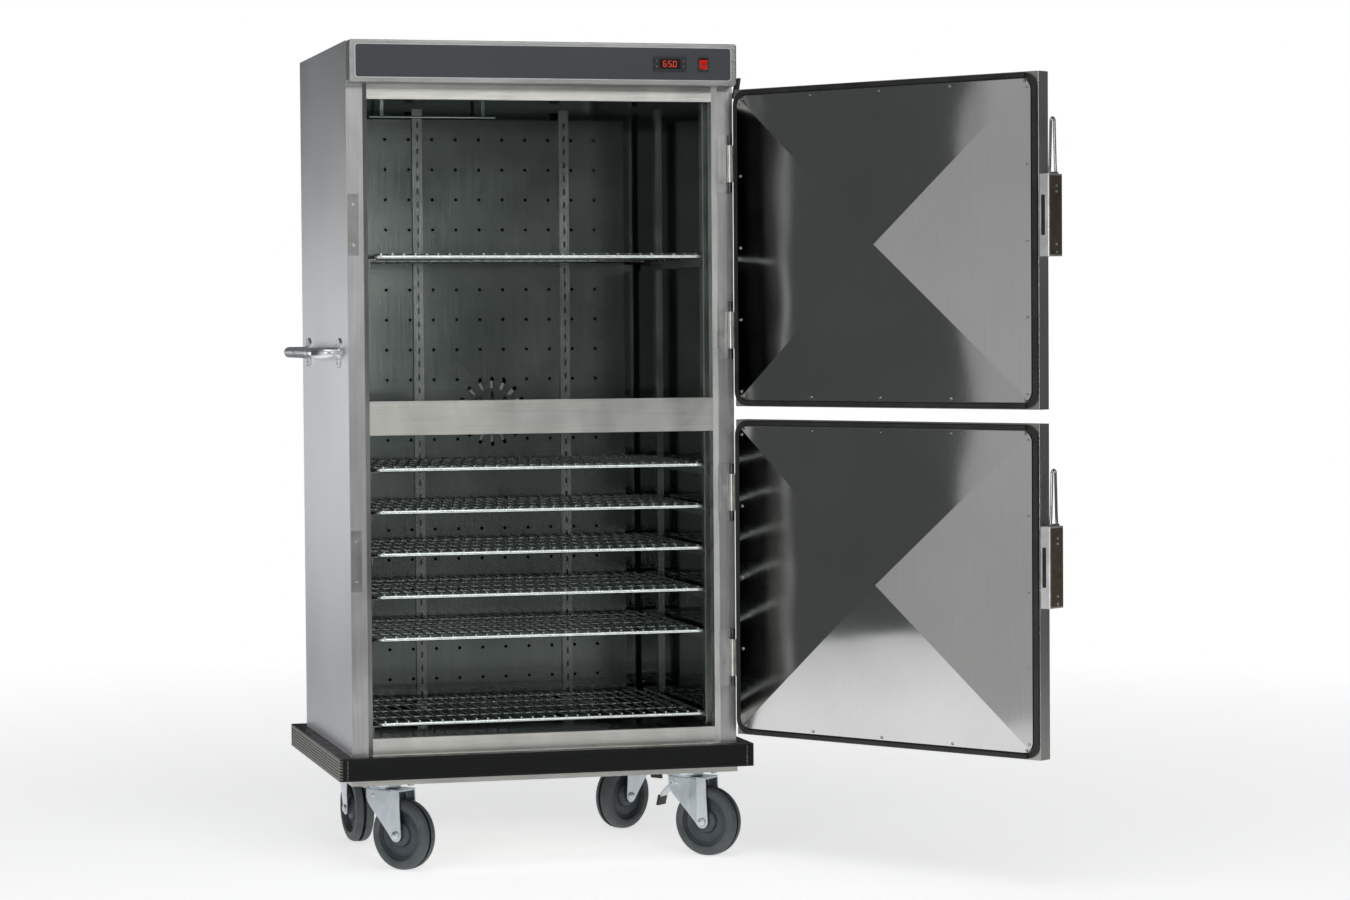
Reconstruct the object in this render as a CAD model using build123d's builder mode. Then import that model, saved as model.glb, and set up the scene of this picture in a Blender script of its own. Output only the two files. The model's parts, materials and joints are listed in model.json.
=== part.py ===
"""Heated food holding cabinet on casters: insulated body, two half-height doors, eight wire shelves.

Millimetres. +Z up, the doors face -Y, the origin is on the floor under the centre of the body.
"""

from build123d import *
import os
from math import cos, radians, sin

os.makedirs("parts", exist_ok=True)

# ---------------------------------------------------------------- driving dimensions

BODY_W = 890.0  # outside width of the insulated body
BODY_D = 670.0  # outside depth, stile face to rear skin
BODY_TOP = 1861.0
BASE_Z = 266.0  # underside of the body, top of the chassis
WALL = 48.0  # skin, insulation and liner together
SKIN = 1.2  # outer sheet
LINER = 1.0  # cavity sheet
FIT = 0.3  # air between pieces that move past each other
SEAM = 0.2  # hairline between sheets and bars that butt together

HALF_W, HALF_D = BODY_W / 2, BODY_D / 2
FRONT = -HALF_D
BACK = HALF_D
CAVITY_X = HALF_W - WALL
CAVITY_BACK = BACK - WALL
CAVITY_FLOOR = 292.0
CAVITY_TOP = 1758.0
CEILING_TOP = 1800.0  # top of the ceiling insulation, floor of the wiring bay

FRAME_DEPTH = 38.0
BEVEL_W, BEVEL_D = 11.0, 8.0  # bevel on the inner edge of each stile
FRAME_BACK = FRONT + FRAME_DEPTH
RAIL_D = 14.0  # the cross rails are shallower, to clear the shelves behind them
RAILS = {"sill": (BASE_Z, 304.0), "middle": (983.0, 1059.0), "header": (1733.0, 1766.0)}

FASCIA_Z = (1766.0, BODY_TOP)
FASCIA_D = 42.6
FASCIA_FRONT = FRONT - FASCIA_D
OVERLAY_T = 0.6
OVERLAY_FRONT = FASCIA_FRONT - OVERLAY_T
CONTROL_Z = 1814.5
CONTROLLER_X, CONTROLLER_W, CONTROLLER_H = 287.0, 77.0, 33.0
ROCKER_X, ROCKER_W, ROCKER_H = 365.5, 25.0, 32.0

DOOR_BOTTOMS = {"lower": 289.0, "upper": 1039.0}
DOOR_H = 720.0
DOOR_T = 36.0
HINGE_X, HINGE_Y = 436.0, FRONT - 9.0
DOOR_Q = (15.0, 851.0)  # door edges, measured from the hinge axis
DOOR_OPEN = 125.0  # stored pose, degrees from closed
INNER = -2.4  # inner face of the door pan, in the door's own depth direction
OUTER = INNER + DOOR_T
GASKET_W, GASKET_PROUD = 12.0, 6.3
PLUG_EDGE = 15.5  # inset of the door liner from the door's edge
PLUG_RISE, PLUG_APEX = 8.0, 30.0  # height of the liner's rim and of its cross-broken centre

HINGE_H, KNUCKLE_MID, KNUCKLE_R, PIN_R = 130.0, 84.0, 5.5, 3.0
LEAF_X, LEAF_T = (407.2, 440.8), 2.3  # hinge leaf let into the stile
HINGE_OFFSETS = (174.0, 553.0)  # hinge centres above the bottom of a door
LATCH_CENTRE, LATCH_H, LATCH_W = 414.0, 175.0, 26.0
LATCH_Q = 853.0
LEVER_H, LEVER_T, LEVER_GROOVE = 122.0, 10.0, 3.0
STRIKE_H, STRIKE_T, STRIKE_X, STRIKE_SCREWS = 137.0, 2.0, -HALF_W + 14.0, (-45.0, 45.0)

SHELF_BASE, SHELF_PITCH = 332.5, 31.8
SHELF_STEPS = (0, 6, 9, 12, 15, 18, 22, 33)
SHELF_W, SHELF_D = 766.0, 520.0
SHELF_FRONT = FRONT + 29.0
ROD, WIRE, CROSS, WIRE_PITCH = 9.0, 4.0, 6.0, 26.0

DUCT_FRONT = CAVITY_BACK - 45.0
FAN_Z = 1020.0

BUMPER_Z = (215.0, BASE_Z)
BUMPER_OUT, BUMPER_T, CORNER = 34.0, 30.5, 18.0
CHASSIS_BOTTOM, CHASSIS_T = 200.0, 3.0
CHANNEL_X, CHANNEL_Y = 425.0, 62.0  # half length and half width of each caster channel
PLATE_Z = (195.0, 200.0)  # caster top plates

WHEEL_R, WHEEL_T, TRAIL = 80.0, 38.0, 55.0
AXLE_R = 6.0
BRAKE_PIVOT = (-33.0, 166.0)  # along the trail and up, in a caster's own frame
CASTERS = {  # swivel axis x, y and the direction of the wheel from it, in degrees
    "front_left": (-355.0, -235.0, -50.0),
    "front_right": (355.0, -235.0, -45.0),
    "rear_left": (-355.0, 245.0, -83.0),
    "rear_right": (355.0, 245.0, -146.0),
}
BRAKED = ("front_right", "rear_right")

HANDLE_Z, HANDLE_Y, HANDLE_OUT, HANDLE_R = 1167.5, (-219.0, 229.0), 53.0, 12.5


# ---------------------------------------------------------------- helpers


def write(piece, name):
    """Label a finished builder and write its STEP file."""
    piece.part.label = name
    export_step(piece.part, f"parts/{name}.step")


def block(x, y, z, mode=Mode.ADD):
    """A box between two limits on each axis of the builder's own frame."""
    spans = (x[1] - x[0], y[1] - y[0], z[1] - z[0])
    middle = ((x[0] + x[1]) / 2, (y[0] + y[1]) / 2, (z[0] + z[1]) / 2)
    with Locations(middle):
        Box(*spans, mode=mode)


def front_plane(y):
    """Vertical plane facing the front: local x is +X, local y is +Z."""
    return Plane(origin=(0, y, 0), x_dir=(1, 0, 0), z_dir=(0, -1, 0))


def side_plane(x):
    """Vertical plane facing +X: local x is +Y, local y is +Z."""
    return Plane(origin=(x, 0, 0), x_dir=(0, 1, 0), z_dir=(1, 0, 0))


def door_frame(bottom):
    """Frame on a hinge axis: x along the open door, y out of its outer face, z up from its bottom."""
    swing = radians(DOOR_OPEN)
    return Plane(
        origin=(HINGE_X, HINGE_Y, bottom), x_dir=(-cos(swing), -sin(swing), 0), z_dir=(0, 0, 1)
    )


def door_inner_plane(bottom, depth):
    """Plane parallel to the door's inner face, facing the cavity: local x along the door, local y up."""
    frame = door_frame(bottom)
    origin = frame.origin + frame.y_dir * depth
    return Plane(origin=origin, x_dir=frame.x_dir, z_dir=-frame.y_dir)


def caster_frame(name):
    """Frame on a swivel axis at floor level: x towards the wheel, y along its axle."""
    x, y, trail = CASTERS[name]
    return Plane(
        origin=(x, y, 0), x_dir=(cos(radians(trail)), sin(radians(trail)), 0), z_dir=(0, 0, 1)
    )


def caster_side(name, across):
    """Plane through the wheel's side: local x towards the wheel, local y up, facing the axle."""
    frame = caster_frame(name)
    return Plane(origin=frame.origin + frame.y_dir * across, x_dir=frame.x_dir, z_dir=-frame.y_dir)


# ---------------------------------------------------------------- body shell

with BuildPart() as outer_panels:
    for side in (-1, 1):
        outer = sorted((side * HALF_W, side * (HALF_W - SKIN)))
        block(outer, (FRONT, BACK), (BASE_Z, BODY_TOP))
    inner = HALF_W - SKIN - SEAM
    block((-inner, inner), (BACK - SKIN, BACK), (BASE_Z, BODY_TOP))
    block((-inner, inner), (FRONT, BACK - SKIN - SEAM), (BODY_TOP - SKIN, BODY_TOP))
    block((278, 322), (BACK - SKIN, BACK), (1817, 1843), mode=Mode.SUBTRACT)  # mains inlet opening
write(outer_panels, "outer_panels")

with BuildPart() as front_frame:
    stile_inner, stile_outer = CAVITY_X, HALF_W - SKIN
    rail_x = stile_inner - SEAM
    with BuildSketch(Plane.XY.offset(BASE_Z)):
        with BuildLine():
            Polyline(
                (stile_outer, FRONT),
                (stile_inner + BEVEL_W, FRONT),
                (stile_inner, FRONT + BEVEL_D),
                (stile_inner, FRAME_BACK),
                (stile_outer, FRAME_BACK),
                close=True,
            )
        make_face()
        mirror(about=Plane.YZ)
    extrude(amount=BODY_TOP - SKIN - BASE_Z)
    for low, high in RAILS.values():
        block((-rail_x, rail_x), (FRONT + BEVEL_D, FRONT + BEVEL_D + RAIL_D), (low, high))
    for bottom in DOOR_BOTTOMS.values():
        for offset_z in HINGE_OFFSETS:
            recess_x = (LEAF_X[0] - SEAM, LEAF_X[1] + SEAM)
            half = HINGE_H / 2 + SEAM
            recess_z = (bottom + offset_z - half, bottom + offset_z + half)
            block(recess_x, (FRONT, FRONT + LEAF_T + 0.1), recess_z, mode=Mode.SUBTRACT)
write(front_frame, "front_frame")

with BuildPart() as cabinet_liner:
    sheet_x = CAVITY_X + LINER
    heights = (CAVITY_FLOOR - LINER, CAVITY_TOP + LINER)
    depths = (FRAME_BACK, CAVITY_BACK - SEAM)
    for side in (-1, 1):
        block(sorted((side * CAVITY_X, side * sheet_x)), depths, heights)
    for z in ((heights[0], CAVITY_FLOOR), (CAVITY_TOP, heights[1])):
        block((-CAVITY_X + SEAM, CAVITY_X - SEAM), depths, z)
    block((-sheet_x, sheet_x), (CAVITY_BACK, CAVITY_BACK + LINER), heights)
    with BuildSketch(front_plane(CAVITY_BACK + LINER)):  # shaft and heater leads
        with Locations((0, FAN_Z)):
            Circle(8)
        with Locations((-20, FAN_Z + 95), (20, FAN_Z + 95)):
            Circle(5)
    extrude(amount=LINER, mode=Mode.SUBTRACT)
    for louvre in range(3):  # small raised air louvre in the floor
        y = 130 + 22 * louvre
        block((-245, -175), (y, y + 14), (CAVITY_FLOOR, CAVITY_FLOOR + 5))
        block((-244, -176), (y - 1, y + 13), (CAVITY_FLOOR, CAVITY_FLOOR + 4), mode=Mode.SUBTRACT)
write(cabinet_liner, "cabinet_liner")

with BuildPart() as wall_insulation:
    foam_x = (CAVITY_X + LINER, HALF_W - SKIN)
    foam_y = (FRAME_BACK, BACK - SKIN)
    liner_z = (CAVITY_FLOOR - LINER, CAVITY_TOP + LINER)
    for side in (-1, 1):
        block(sorted((side * foam_x[0], side * foam_x[1])), foam_y, liner_z)
    block((-foam_x[1], foam_x[1]), foam_y, (BASE_Z, liner_z[0]))
    block((-foam_x[1], foam_x[1]), foam_y, (liner_z[1], CEILING_TOP))
    block((-foam_x[0], foam_x[0]), (CAVITY_BACK + LINER, foam_y[1]), liner_z)
    with BuildSketch(front_plane(BACK)):  # motor pocket and heater leads
        with Locations((0, FAN_Z)):
            Circle(46)
        with Locations((-20, FAN_Z + 95), (20, FAN_Z + 95)):
            Circle(6)
    extrude(amount=WALL - LINER, mode=Mode.SUBTRACT)
write(wall_insulation, "wall_insulation")

with BuildPart() as fascia_housing:
    with BuildSketch(front_plane(FRONT)):
        with Locations((0, sum(FASCIA_Z) / 2)):
            Rectangle(BODY_W - 2, FASCIA_Z[1] - FASCIA_Z[0])
    extrude(amount=FASCIA_D)
    fillet(fascia_housing.edges().filter_by(Axis.Y), radius=6)
    fillet(fascia_housing.faces().sort_by(Axis.Y)[0].edges(), radius=2.5)
    offset(amount=-1.5, openings=fascia_housing.faces().sort_by(Axis.Y)[-1])
    with BuildSketch(front_plane(FASCIA_FRONT + 4)):
        with Locations((CONTROLLER_X, CONTROL_Z)):
            Rectangle(71, 29)
        with Locations((ROCKER_X, CONTROL_Z)):
            Rectangle(22, 28)
    extrude(amount=6, mode=Mode.SUBTRACT)
write(fascia_housing, "fascia_housing")

with BuildPart() as fascia_overlay:
    with BuildSketch(front_plane(FASCIA_FRONT)):
        with Locations((0, (1776 + 1853) / 2)):
            RectangleRounded(BODY_W - 26, 77, 8)
        with Locations((CONTROLLER_X, CONTROL_Z)):
            Rectangle(72, 30, mode=Mode.SUBTRACT)
        with Locations((ROCKER_X, CONTROL_Z)):
            Rectangle(23, 29, mode=Mode.SUBTRACT)
    extrude(amount=OVERLAY_T)
write(fascia_overlay, "fascia_overlay")

# ---------------------------------------------------------------- controls

BEZEL_T = 3.0
BEZEL_FRONT = OVERLAY_FRONT - BEZEL_T
KEY_W, KEY_H, KEY_PROUD, KEY_WELL = 6.0, 8.0, 1.2, 5.0
KEYS = {
    "set_key": (-31.5, 6.0),
    "up_key": (31.5, 6.0),
    "defrost_key": (-31.5, -6.0),
    "down_key": (31.5, -6.0),
}

with BuildPart() as control_bezels:
    with BuildSketch(front_plane(OVERLAY_FRONT)):
        with Locations((CONTROLLER_X, CONTROL_Z)):
            RectangleRounded(CONTROLLER_W, CONTROLLER_H, 3)
        with Locations((ROCKER_X, CONTROL_Z)):
            RectangleRounded(ROCKER_W, ROCKER_H, 2)
    extrude(amount=BEZEL_T)
    body_y = (OVERLAY_FRONT, FASCIA_FRONT + 60)
    block((CONTROLLER_X - 35, CONTROLLER_X + 35), body_y, (CONTROL_Z - 14, CONTROL_Z + 14))
    block((ROCKER_X - 10.8, ROCKER_X + 10.8), body_y, (CONTROL_Z - 13.8, CONTROL_Z + 13.8))
    with BuildSketch(front_plane(BEZEL_FRONT)):  # display window
        with Locations((CONTROLLER_X, CONTROL_Z)):
            RectangleRounded(50, 24, 1.5)
    extrude(amount=-1.2, mode=Mode.SUBTRACT)
    for key_x, key_z in KEYS.values():
        x, z = CONTROLLER_X + key_x, CONTROL_Z + key_z
        well_x = (x - KEY_W / 2 - FIT, x + KEY_W / 2 + FIT)
        well_z = (z - KEY_H / 2 - FIT, z + KEY_H / 2 + FIT)
        block(well_x, (BEZEL_FRONT, BEZEL_FRONT + KEY_WELL), well_z, mode=Mode.SUBTRACT)
    block(  # well of the rocker
        (ROCKER_X - 9.3, ROCKER_X + 9.3),
        (BEZEL_FRONT, BEZEL_FRONT + 22),
        (CONTROL_Z - 12.8, CONTROL_Z + 12.8),
        Mode.SUBTRACT,
    )
write(control_bezels, "control_bezels")

for key_name, (key_x, key_z) in KEYS.items():
    with BuildPart() as key:
        x, z = CONTROLLER_X + key_x, CONTROL_Z + key_z
        key_y = (BEZEL_FRONT - KEY_PROUD, BEZEL_FRONT + KEY_WELL - 1.5)
        block((x - KEY_W / 2, x + KEY_W / 2), key_y, (z - KEY_H / 2, z + KEY_H / 2))
        fillet(key.faces().sort_by(Axis.Y)[0].edges(), radius=0.6)
    write(key, key_name)

ROCKER_TILT = 9.0
ROCKER_AXIS_Y = BEZEL_FRONT + 7.0
rocker_plane = Plane(
    origin=(ROCKER_X, ROCKER_AXIS_Y, CONTROL_Z), x_dir=(1, 0, 0), z_dir=(0, -1, 0)
).rotated((ROCKER_TILT, 0, 0))
ROCKER_HALF = 9.0
rocker_side = Plane(
    origin=rocker_plane.origin - rocker_plane.x_dir * ROCKER_HALF,
    x_dir=rocker_plane.z_dir,
    z_dir=-rocker_plane.x_dir,
)
with BuildPart() as rocker_switch:
    with BuildSketch(rocker_side):
        with BuildLine():
            Polyline(
                (9.5, -10.8),
                (6.6, 0),
                (9.5, 10.8),
                (2, 10.8),
                (-7, 4),
                (-7, -4),
                (2, -10.8),
                close=True,
            )
        make_face()
    extrude(amount=-2 * ROCKER_HALF)
write(rocker_switch, "rocker_switch")

# ---------------------------------------------------------------- inside the cavity

UPRIGHT_Y = (-262.0, 170.0)
UPRIGHT_W, UPRIGHT_D = 24.0, 8.0
REAR_UPRIGHT_X = 180.0
shelf_levels = [SHELF_BASE + SHELF_PITCH * step for step in SHELF_STEPS]

with BuildPart() as shelf_supports:
    span = (CAVITY_FLOOR + 12, CAVITY_TOP - 12)
    slots = int((span[1] - span[0]) / SHELF_PITCH) - 1
    middle = sum(span) / 2
    for side in (-1, 1):
        for y in UPRIGHT_Y:
            x = sorted((side * CAVITY_X, side * (CAVITY_X - UPRIGHT_D)))
            hollow = sorted((side * CAVITY_X, side * (CAVITY_X - UPRIGHT_D + 1.5)))
            block(x, (y - UPRIGHT_W / 2, y + UPRIGHT_W / 2), span)
            block(hollow, (y - UPRIGHT_W / 2 + 1.5, y + UPRIGHT_W / 2 - 1.5), span, mode=Mode.SUBTRACT)
        face_x = side * REAR_UPRIGHT_X
        block(
            (face_x - UPRIGHT_W / 2, face_x + UPRIGHT_W / 2), (DUCT_FRONT - UPRIGHT_D, DUCT_FRONT), span
        )
        block(
            (face_x - UPRIGHT_W / 2 + 1.5, face_x + UPRIGHT_W / 2 - 1.5),
            (DUCT_FRONT - UPRIGHT_D + 1.5, DUCT_FRONT),
            span,
            mode=Mode.SUBTRACT,
        )
    with BuildSketch(side_plane(-CAVITY_X)):
        for y in UPRIGHT_Y:
            with Locations((y, middle)):
                with GridLocations(0, SHELF_PITCH, 1, slots):
                    Rectangle(5, 14)
    extrude(amount=2 * CAVITY_X, mode=Mode.SUBTRACT)
    with BuildSketch(front_plane(DUCT_FRONT)):
        for side in (-1, 1):
            with Locations((side * REAR_UPRIGHT_X, middle)):
                with GridLocations(0, SHELF_PITCH, 1, slots):
                    Rectangle(5, 14)
    extrude(amount=UPRIGHT_D, mode=Mode.SUBTRACT)

RUNNER_X = (372.0, CAVITY_X - UPRIGHT_D - SEAM)  # ledge from its lip to the uprights' face
RUNNER_Y = (FRONT + 48.0, 196.0)
RUNNER_T = 2.0
runner_drop = ROD / 2 + FIT
with shelf_supports:
    for level in shelf_levels:
        top = level - runner_drop
        for side in (-1, 1):
            ledge = sorted((side * RUNNER_X[0], side * RUNNER_X[1]))
            web = sorted((side * (RUNNER_X[1] - RUNNER_T), side * RUNNER_X[1]))
            block(ledge, RUNNER_Y, (top - RUNNER_T, top))
            block(web, RUNNER_Y, (top - 18, top - RUNNER_T))
write(shelf_supports, "shelf_supports")

DUCT_X, DUCT_Z = 330.0, (330.0, 1722.0)
HOLE_PITCH_X, HOLE_PITCH_Z, HOLE_R = 57.0, 72.0, 4.0
with BuildPart() as air_duct_panel:
    duct_middle = sum(DUCT_Z) / 2
    with BuildSketch(front_plane(DUCT_FRONT + SKIN)):
        with Locations((0, duct_middle)):
            Rectangle(2 * DUCT_X, DUCT_Z[1] - DUCT_Z[0])
            with GridLocations(HOLE_PITCH_X, HOLE_PITCH_Z, 10, 19) as grid:
                spots = [spot for spot in grid.locations]
        with Locations((0, FAN_Z)):
            with PolarLocations(34, 8):
                SlotOverall(30, 9, mode=Mode.SUBTRACT)
            with PolarLocations(70, 16):
                SlotOverall(28, 9, mode=Mode.SUBTRACT)
        for spot in spots:
            if (Vector(spot.position) - Vector(0, FAN_Z, 0)).length > 100:
                with Locations(spot):
                    Circle(HOLE_R, mode=Mode.SUBTRACT)
    extrude(amount=SKIN)
    flange_y = (DUCT_FRONT + SKIN, CAVITY_BACK)
    for side in (-1, 1):
        block(sorted((side * DUCT_X, side * (DUCT_X - SKIN))), flange_y, DUCT_Z)
    for low in (DUCT_Z[0], DUCT_Z[1] - SKIN):
        block((-DUCT_X + SKIN, DUCT_X - SKIN), flange_y, (low, low + SKIN))
write(air_duct_panel, "air_duct_panel")

SHAFT_R = 4.0
with BuildPart() as fan_heater_unit:
    with BuildSketch(front_plane(BACK - SKIN - 0.3)):
        with Locations((0, FAN_Z)):
            Circle(40)
    extrude(amount=WALL - SKIN - LINER - 4)
    fillet(fan_heater_unit.faces().sort_by(Axis.Y)[0].edges(), radius=5)
    with BuildSketch(front_plane(CAVITY_BACK + 6)):
        with Locations((0, FAN_Z)):
            Circle(SHAFT_R)
    extrude(amount=44)

FAN_Y = (DUCT_FRONT + 9.0, CAVITY_BACK - 6.0)
with BuildPart() as fan_impeller:
    with BuildSketch(front_plane(FAN_Y[1])):
        with Locations((0, FAN_Z)):
            Circle(74)
    extrude(amount=2)
    with BuildSketch(front_plane(FAN_Y[1] - 2)):
        with Locations((0, FAN_Z)):
            with PolarLocations(60, 24):
                Rectangle(24, 1.6, rotation=35)
    extrude(amount=FAN_Y[1] - FAN_Y[0] - 4)
    with BuildSketch(front_plane(FAN_Y[0] + 2)):
        with Locations((0, FAN_Z)):
            Circle(74)
            Circle(50, mode=Mode.SUBTRACT)
    extrude(amount=2)
    with BuildSketch(front_plane(FAN_Y[1])):
        with Locations((0, FAN_Z)):
            Circle(11)
    extrude(amount=18)
    with BuildSketch(front_plane(FAN_Y[1] + 1)):
        with Locations((0, FAN_Z)):
            Circle(SHAFT_R + 0.05)
    extrude(amount=30, mode=Mode.SUBTRACT)
write(fan_impeller, "fan_impeller")

RING_R, TUBE_R = 97.0, 4.0
ring_y = sum(FAN_Y) / 2
ring_plane = Plane(origin=(0, ring_y, FAN_Z), x_dir=(1, 0, 0), z_dir=(0, -1, 0))
with BuildPart() as heating_element:
    with BuildLine(ring_plane) as ring_path:
        gap_angle = 12.0
        CenterArc((0, 0), RING_R, 90 + gap_angle, 360 - 2 * gap_angle)
    start = ring_path.line @ 0
    with BuildSketch(Plane(origin=start, z_dir=ring_path.line % 0)):
        Circle(TUBE_R)
    sweep()
    for end in (ring_path.line @ 0, ring_path.line @ 1):
        with BuildSketch(Plane(origin=end - Vector(0, TUBE_R, 0), x_dir=(1, 0, 0), z_dir=(0, 1, 0))):
            Circle(TUBE_R)
        extrude(amount=CAVITY_BACK - ring_y + TUBE_R - 0.3)
with fan_heater_unit:
    add(heating_element.part)
write(fan_heater_unit, "fan_heater_unit")

with BuildPart() as sensor_probe:
    probe_y, probe_z, probe_x = 222.0, 1727.0, (-297.0, 9.0)
    with BuildSketch(side_plane(probe_x[0])):
        with Locations((probe_y, probe_z)):
            Circle(3)
    extrude(amount=probe_x[1] - probe_x[0])
    for x in (probe_x[0] + 30, probe_x[1] - 30):  # hangers up to the ceiling
        block((x - 4, x + 4), (probe_y - 1, probe_y + 1), (probe_z, CAVITY_TOP))
        block((x - 5, x + 5), (probe_y - 6, probe_y + 6), (CAVITY_TOP - 1.5, CAVITY_TOP))
write(sensor_probe, "sensor_probe")

# ---------------------------------------------------------------- wire shelves

shelf_reach = SHELF_W / 2 - ROD / 2
rim_y = (SHELF_FRONT, SHELF_FRONT + SHELF_D - ROD)
wire_z = ROD / 2 + WIRE / 2 - 0.6
cross_z = wire_z - WIRE / 2 - CROSS / 2 + 0.6
with BuildPart() as wire_shelf:
    with BuildSketch(front_plane(rim_y[0] - 1.5)):
        with Locations((0, wire_z)):
            with GridLocations(WIRE_PITCH, 0, 29, 1):
                Circle(WIRE / 2)
    extrude(amount=-(rim_y[1] - rim_y[0] + 3))
    with BuildSketch(side_plane(-shelf_reach)):
        for share in (0.25, 0.5, 0.75):
            with Locations((rim_y[0] + share * (rim_y[1] - rim_y[0]), cross_z)):
                Circle(CROSS / 2)
    extrude(amount=2 * shelf_reach)
    with BuildLine() as rim:
        Polyline(
            (0, rim_y[0]),
            (shelf_reach, rim_y[0]),
            (shelf_reach, rim_y[1]),
            (-shelf_reach, rim_y[1]),
            (-shelf_reach, rim_y[0]),
            (0, rim_y[0]),
        )
        fillet([corner for corner in rim.vertices() if abs(corner.X) > 1], radius=16)
    with BuildSketch(side_plane(0)):
        with Locations((rim_y[0], 0)):
            Circle(ROD / 2)
    sweep(path=rim.wires()[0])

for number, level in enumerate(shelf_levels, start=1):
    with BuildPart() as placed_shelf:
        with Locations((0, 0, level)):
            add(wire_shelf.part)
    write(placed_shelf, f"wire_shelf_{number}")

# ---------------------------------------------------------------- outside fittings

with BuildPart() as push_handle:
    reach = -HALF_W - HANDLE_OUT
    with BuildLine() as grip:
        FilletPolyline(
            (-HALF_W - 5, HANDLE_Y[0], HANDLE_Z),
            (reach, HANDLE_Y[0], HANDLE_Z),
            (reach, HANDLE_Y[1], HANDLE_Z),
            (-HALF_W - 5, HANDLE_Y[1], HANDLE_Z),
            radius=34,
        )
    with BuildSketch(Plane(origin=grip.line @ 0, z_dir=grip.line % 0)):
        Circle(HANDLE_R)
        Circle(HANDLE_R - 2, mode=Mode.SUBTRACT)
    sweep()
    with BuildSketch(side_plane(-HALF_W)):
        with Locations(*[(y, HANDLE_Z) for y in HANDLE_Y]):
            Circle(33.5)
    extrude(amount=-5)
write(push_handle, "push_handle")

with BuildPart() as cable_hook:
    with BuildSketch(Plane(origin=(HALF_W, -290, 1765), x_dir=(1, 0, 0), z_dir=(0, 1, 0))):
        with BuildLine():  # x grows outwards, y grows downwards in this plane
            Polyline(
                (0, -20),
                (4, -20),
                (4, 10),
                (20, 10),
                (27, -26),
                (34, -26),
                (27, 20),
                (0, 20),
                close=True,
            )
        make_face()
    extrude(amount=26)
write(cable_hook, "cable_hook")

with BuildPart() as power_inlet:
    inlet_x, inlet_z = 300.0, 1830.0
    with BuildSketch(Plane(origin=(inlet_x, BACK, inlet_z), x_dir=(-1, 0, 0), z_dir=(0, 1, 0))):
        RectangleRounded(56, 36, 4)
    extrude(amount=3)
    block((inlet_x - 21, inlet_x + 21), (BACK - 38, BACK), (inlet_z - 12, inlet_z + 12))
    socket_y = (BACK - 20, BACK + 3)
    block((inlet_x - 13, inlet_x + 13), socket_y, (inlet_z - 9, inlet_z + 9), mode=Mode.SUBTRACT)
    for x, z in ((inlet_x - 7, inlet_z - 2), (inlet_x + 7, inlet_z - 2), (inlet_x, inlet_z + 4)):
        block((x - 1, x + 1), (BACK - 20.5, BACK - 4), (z - 2.5, z + 2.5))
write(power_inlet, "power_inlet")

with BuildPart() as strike_plates:
    for bottom in DOOR_BOTTOMS.values():
        middle = bottom + LATCH_CENTRE
        plate_z = (middle - STRIKE_H / 2, middle + STRIKE_H / 2)
        block((-HALF_W + 2, -HALF_W + 26), (FRONT - STRIKE_T, FRONT), plate_z)
    with BuildSketch(front_plane(FRONT)):
        for bottom in DOOR_BOTTOMS.values():
            for dz in STRIKE_SCREWS:
                with Locations((STRIKE_X, bottom + LATCH_CENTRE + dz)):
                    Circle(2.2)
    extrude(amount=STRIKE_T, mode=Mode.SUBTRACT)
write(strike_plates, "strike_plates")

with BuildPart() as hinge_frame_halves:
    for bottom in DOOR_BOTTOMS.values():
        for offset_z in HINGE_OFFSETS:
            middle = bottom + offset_z
            leaf_z = (middle - HINGE_H / 2, middle + HINGE_H / 2)
            block(LEAF_X, (FRONT, FRONT + LEAF_T), leaf_z)
            end_h = (HINGE_H - KNUCKLE_MID) / 2 - 0.5
            for low in (middle - HINGE_H / 2, middle + HINGE_H / 2 - end_h):
                with BuildSketch(Plane.XY.offset(low)):
                    with Locations((HINGE_X, HINGE_Y)):
                        Circle(KNUCKLE_R)
                    with Locations((HINGE_X, (HINGE_Y + FRONT) / 2)):
                        Rectangle(9.6, FRONT - HINGE_Y)
                extrude(amount=end_h)
            with BuildSketch(Plane.XY.offset(middle - HINGE_H / 2)):
                with Locations((HINGE_X, HINGE_Y)):
                    Circle(PIN_R)
            extrude(amount=HINGE_H)
write(hinge_frame_halves, "hinge_frame_halves")

# ---------------------------------------------------------------- doors

door_w = DOOR_Q[1] - DOOR_Q[0]
door_mid = sum(DOOR_Q) / 2
screw_rows = [(x, z) for z in (21.5, DOOR_H - 21.5) for x in (-387.5, -192.0, 0.0, 192.0, 387.5)]
screw_columns = [(x, z) for x in (-394.0, 394.0) for z in (34.0, 197.0, 360.0, 523.0, 686.0)]
SCREW_R, SHANK_R = 3.5, 1.9
PLUG_CORNER = 24.0
HEM = 14.0  # folded edge of the door liner, which the screws go through


def rim_height(x, z):
    """Height of the cross-broken liner above the door's inner face at a place on the door."""
    plug_w, plug_h = door_w - 2 * PLUG_EDGE, DOOR_H - 2 * PLUG_EDGE
    across = 1 - abs(x) / (plug_w / 2)
    up = 1 - abs(z - DOOR_H / 2) / (plug_h / 2)
    return PLUG_RISE + (PLUG_APEX - PLUG_RISE) * min(across, up)


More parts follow.
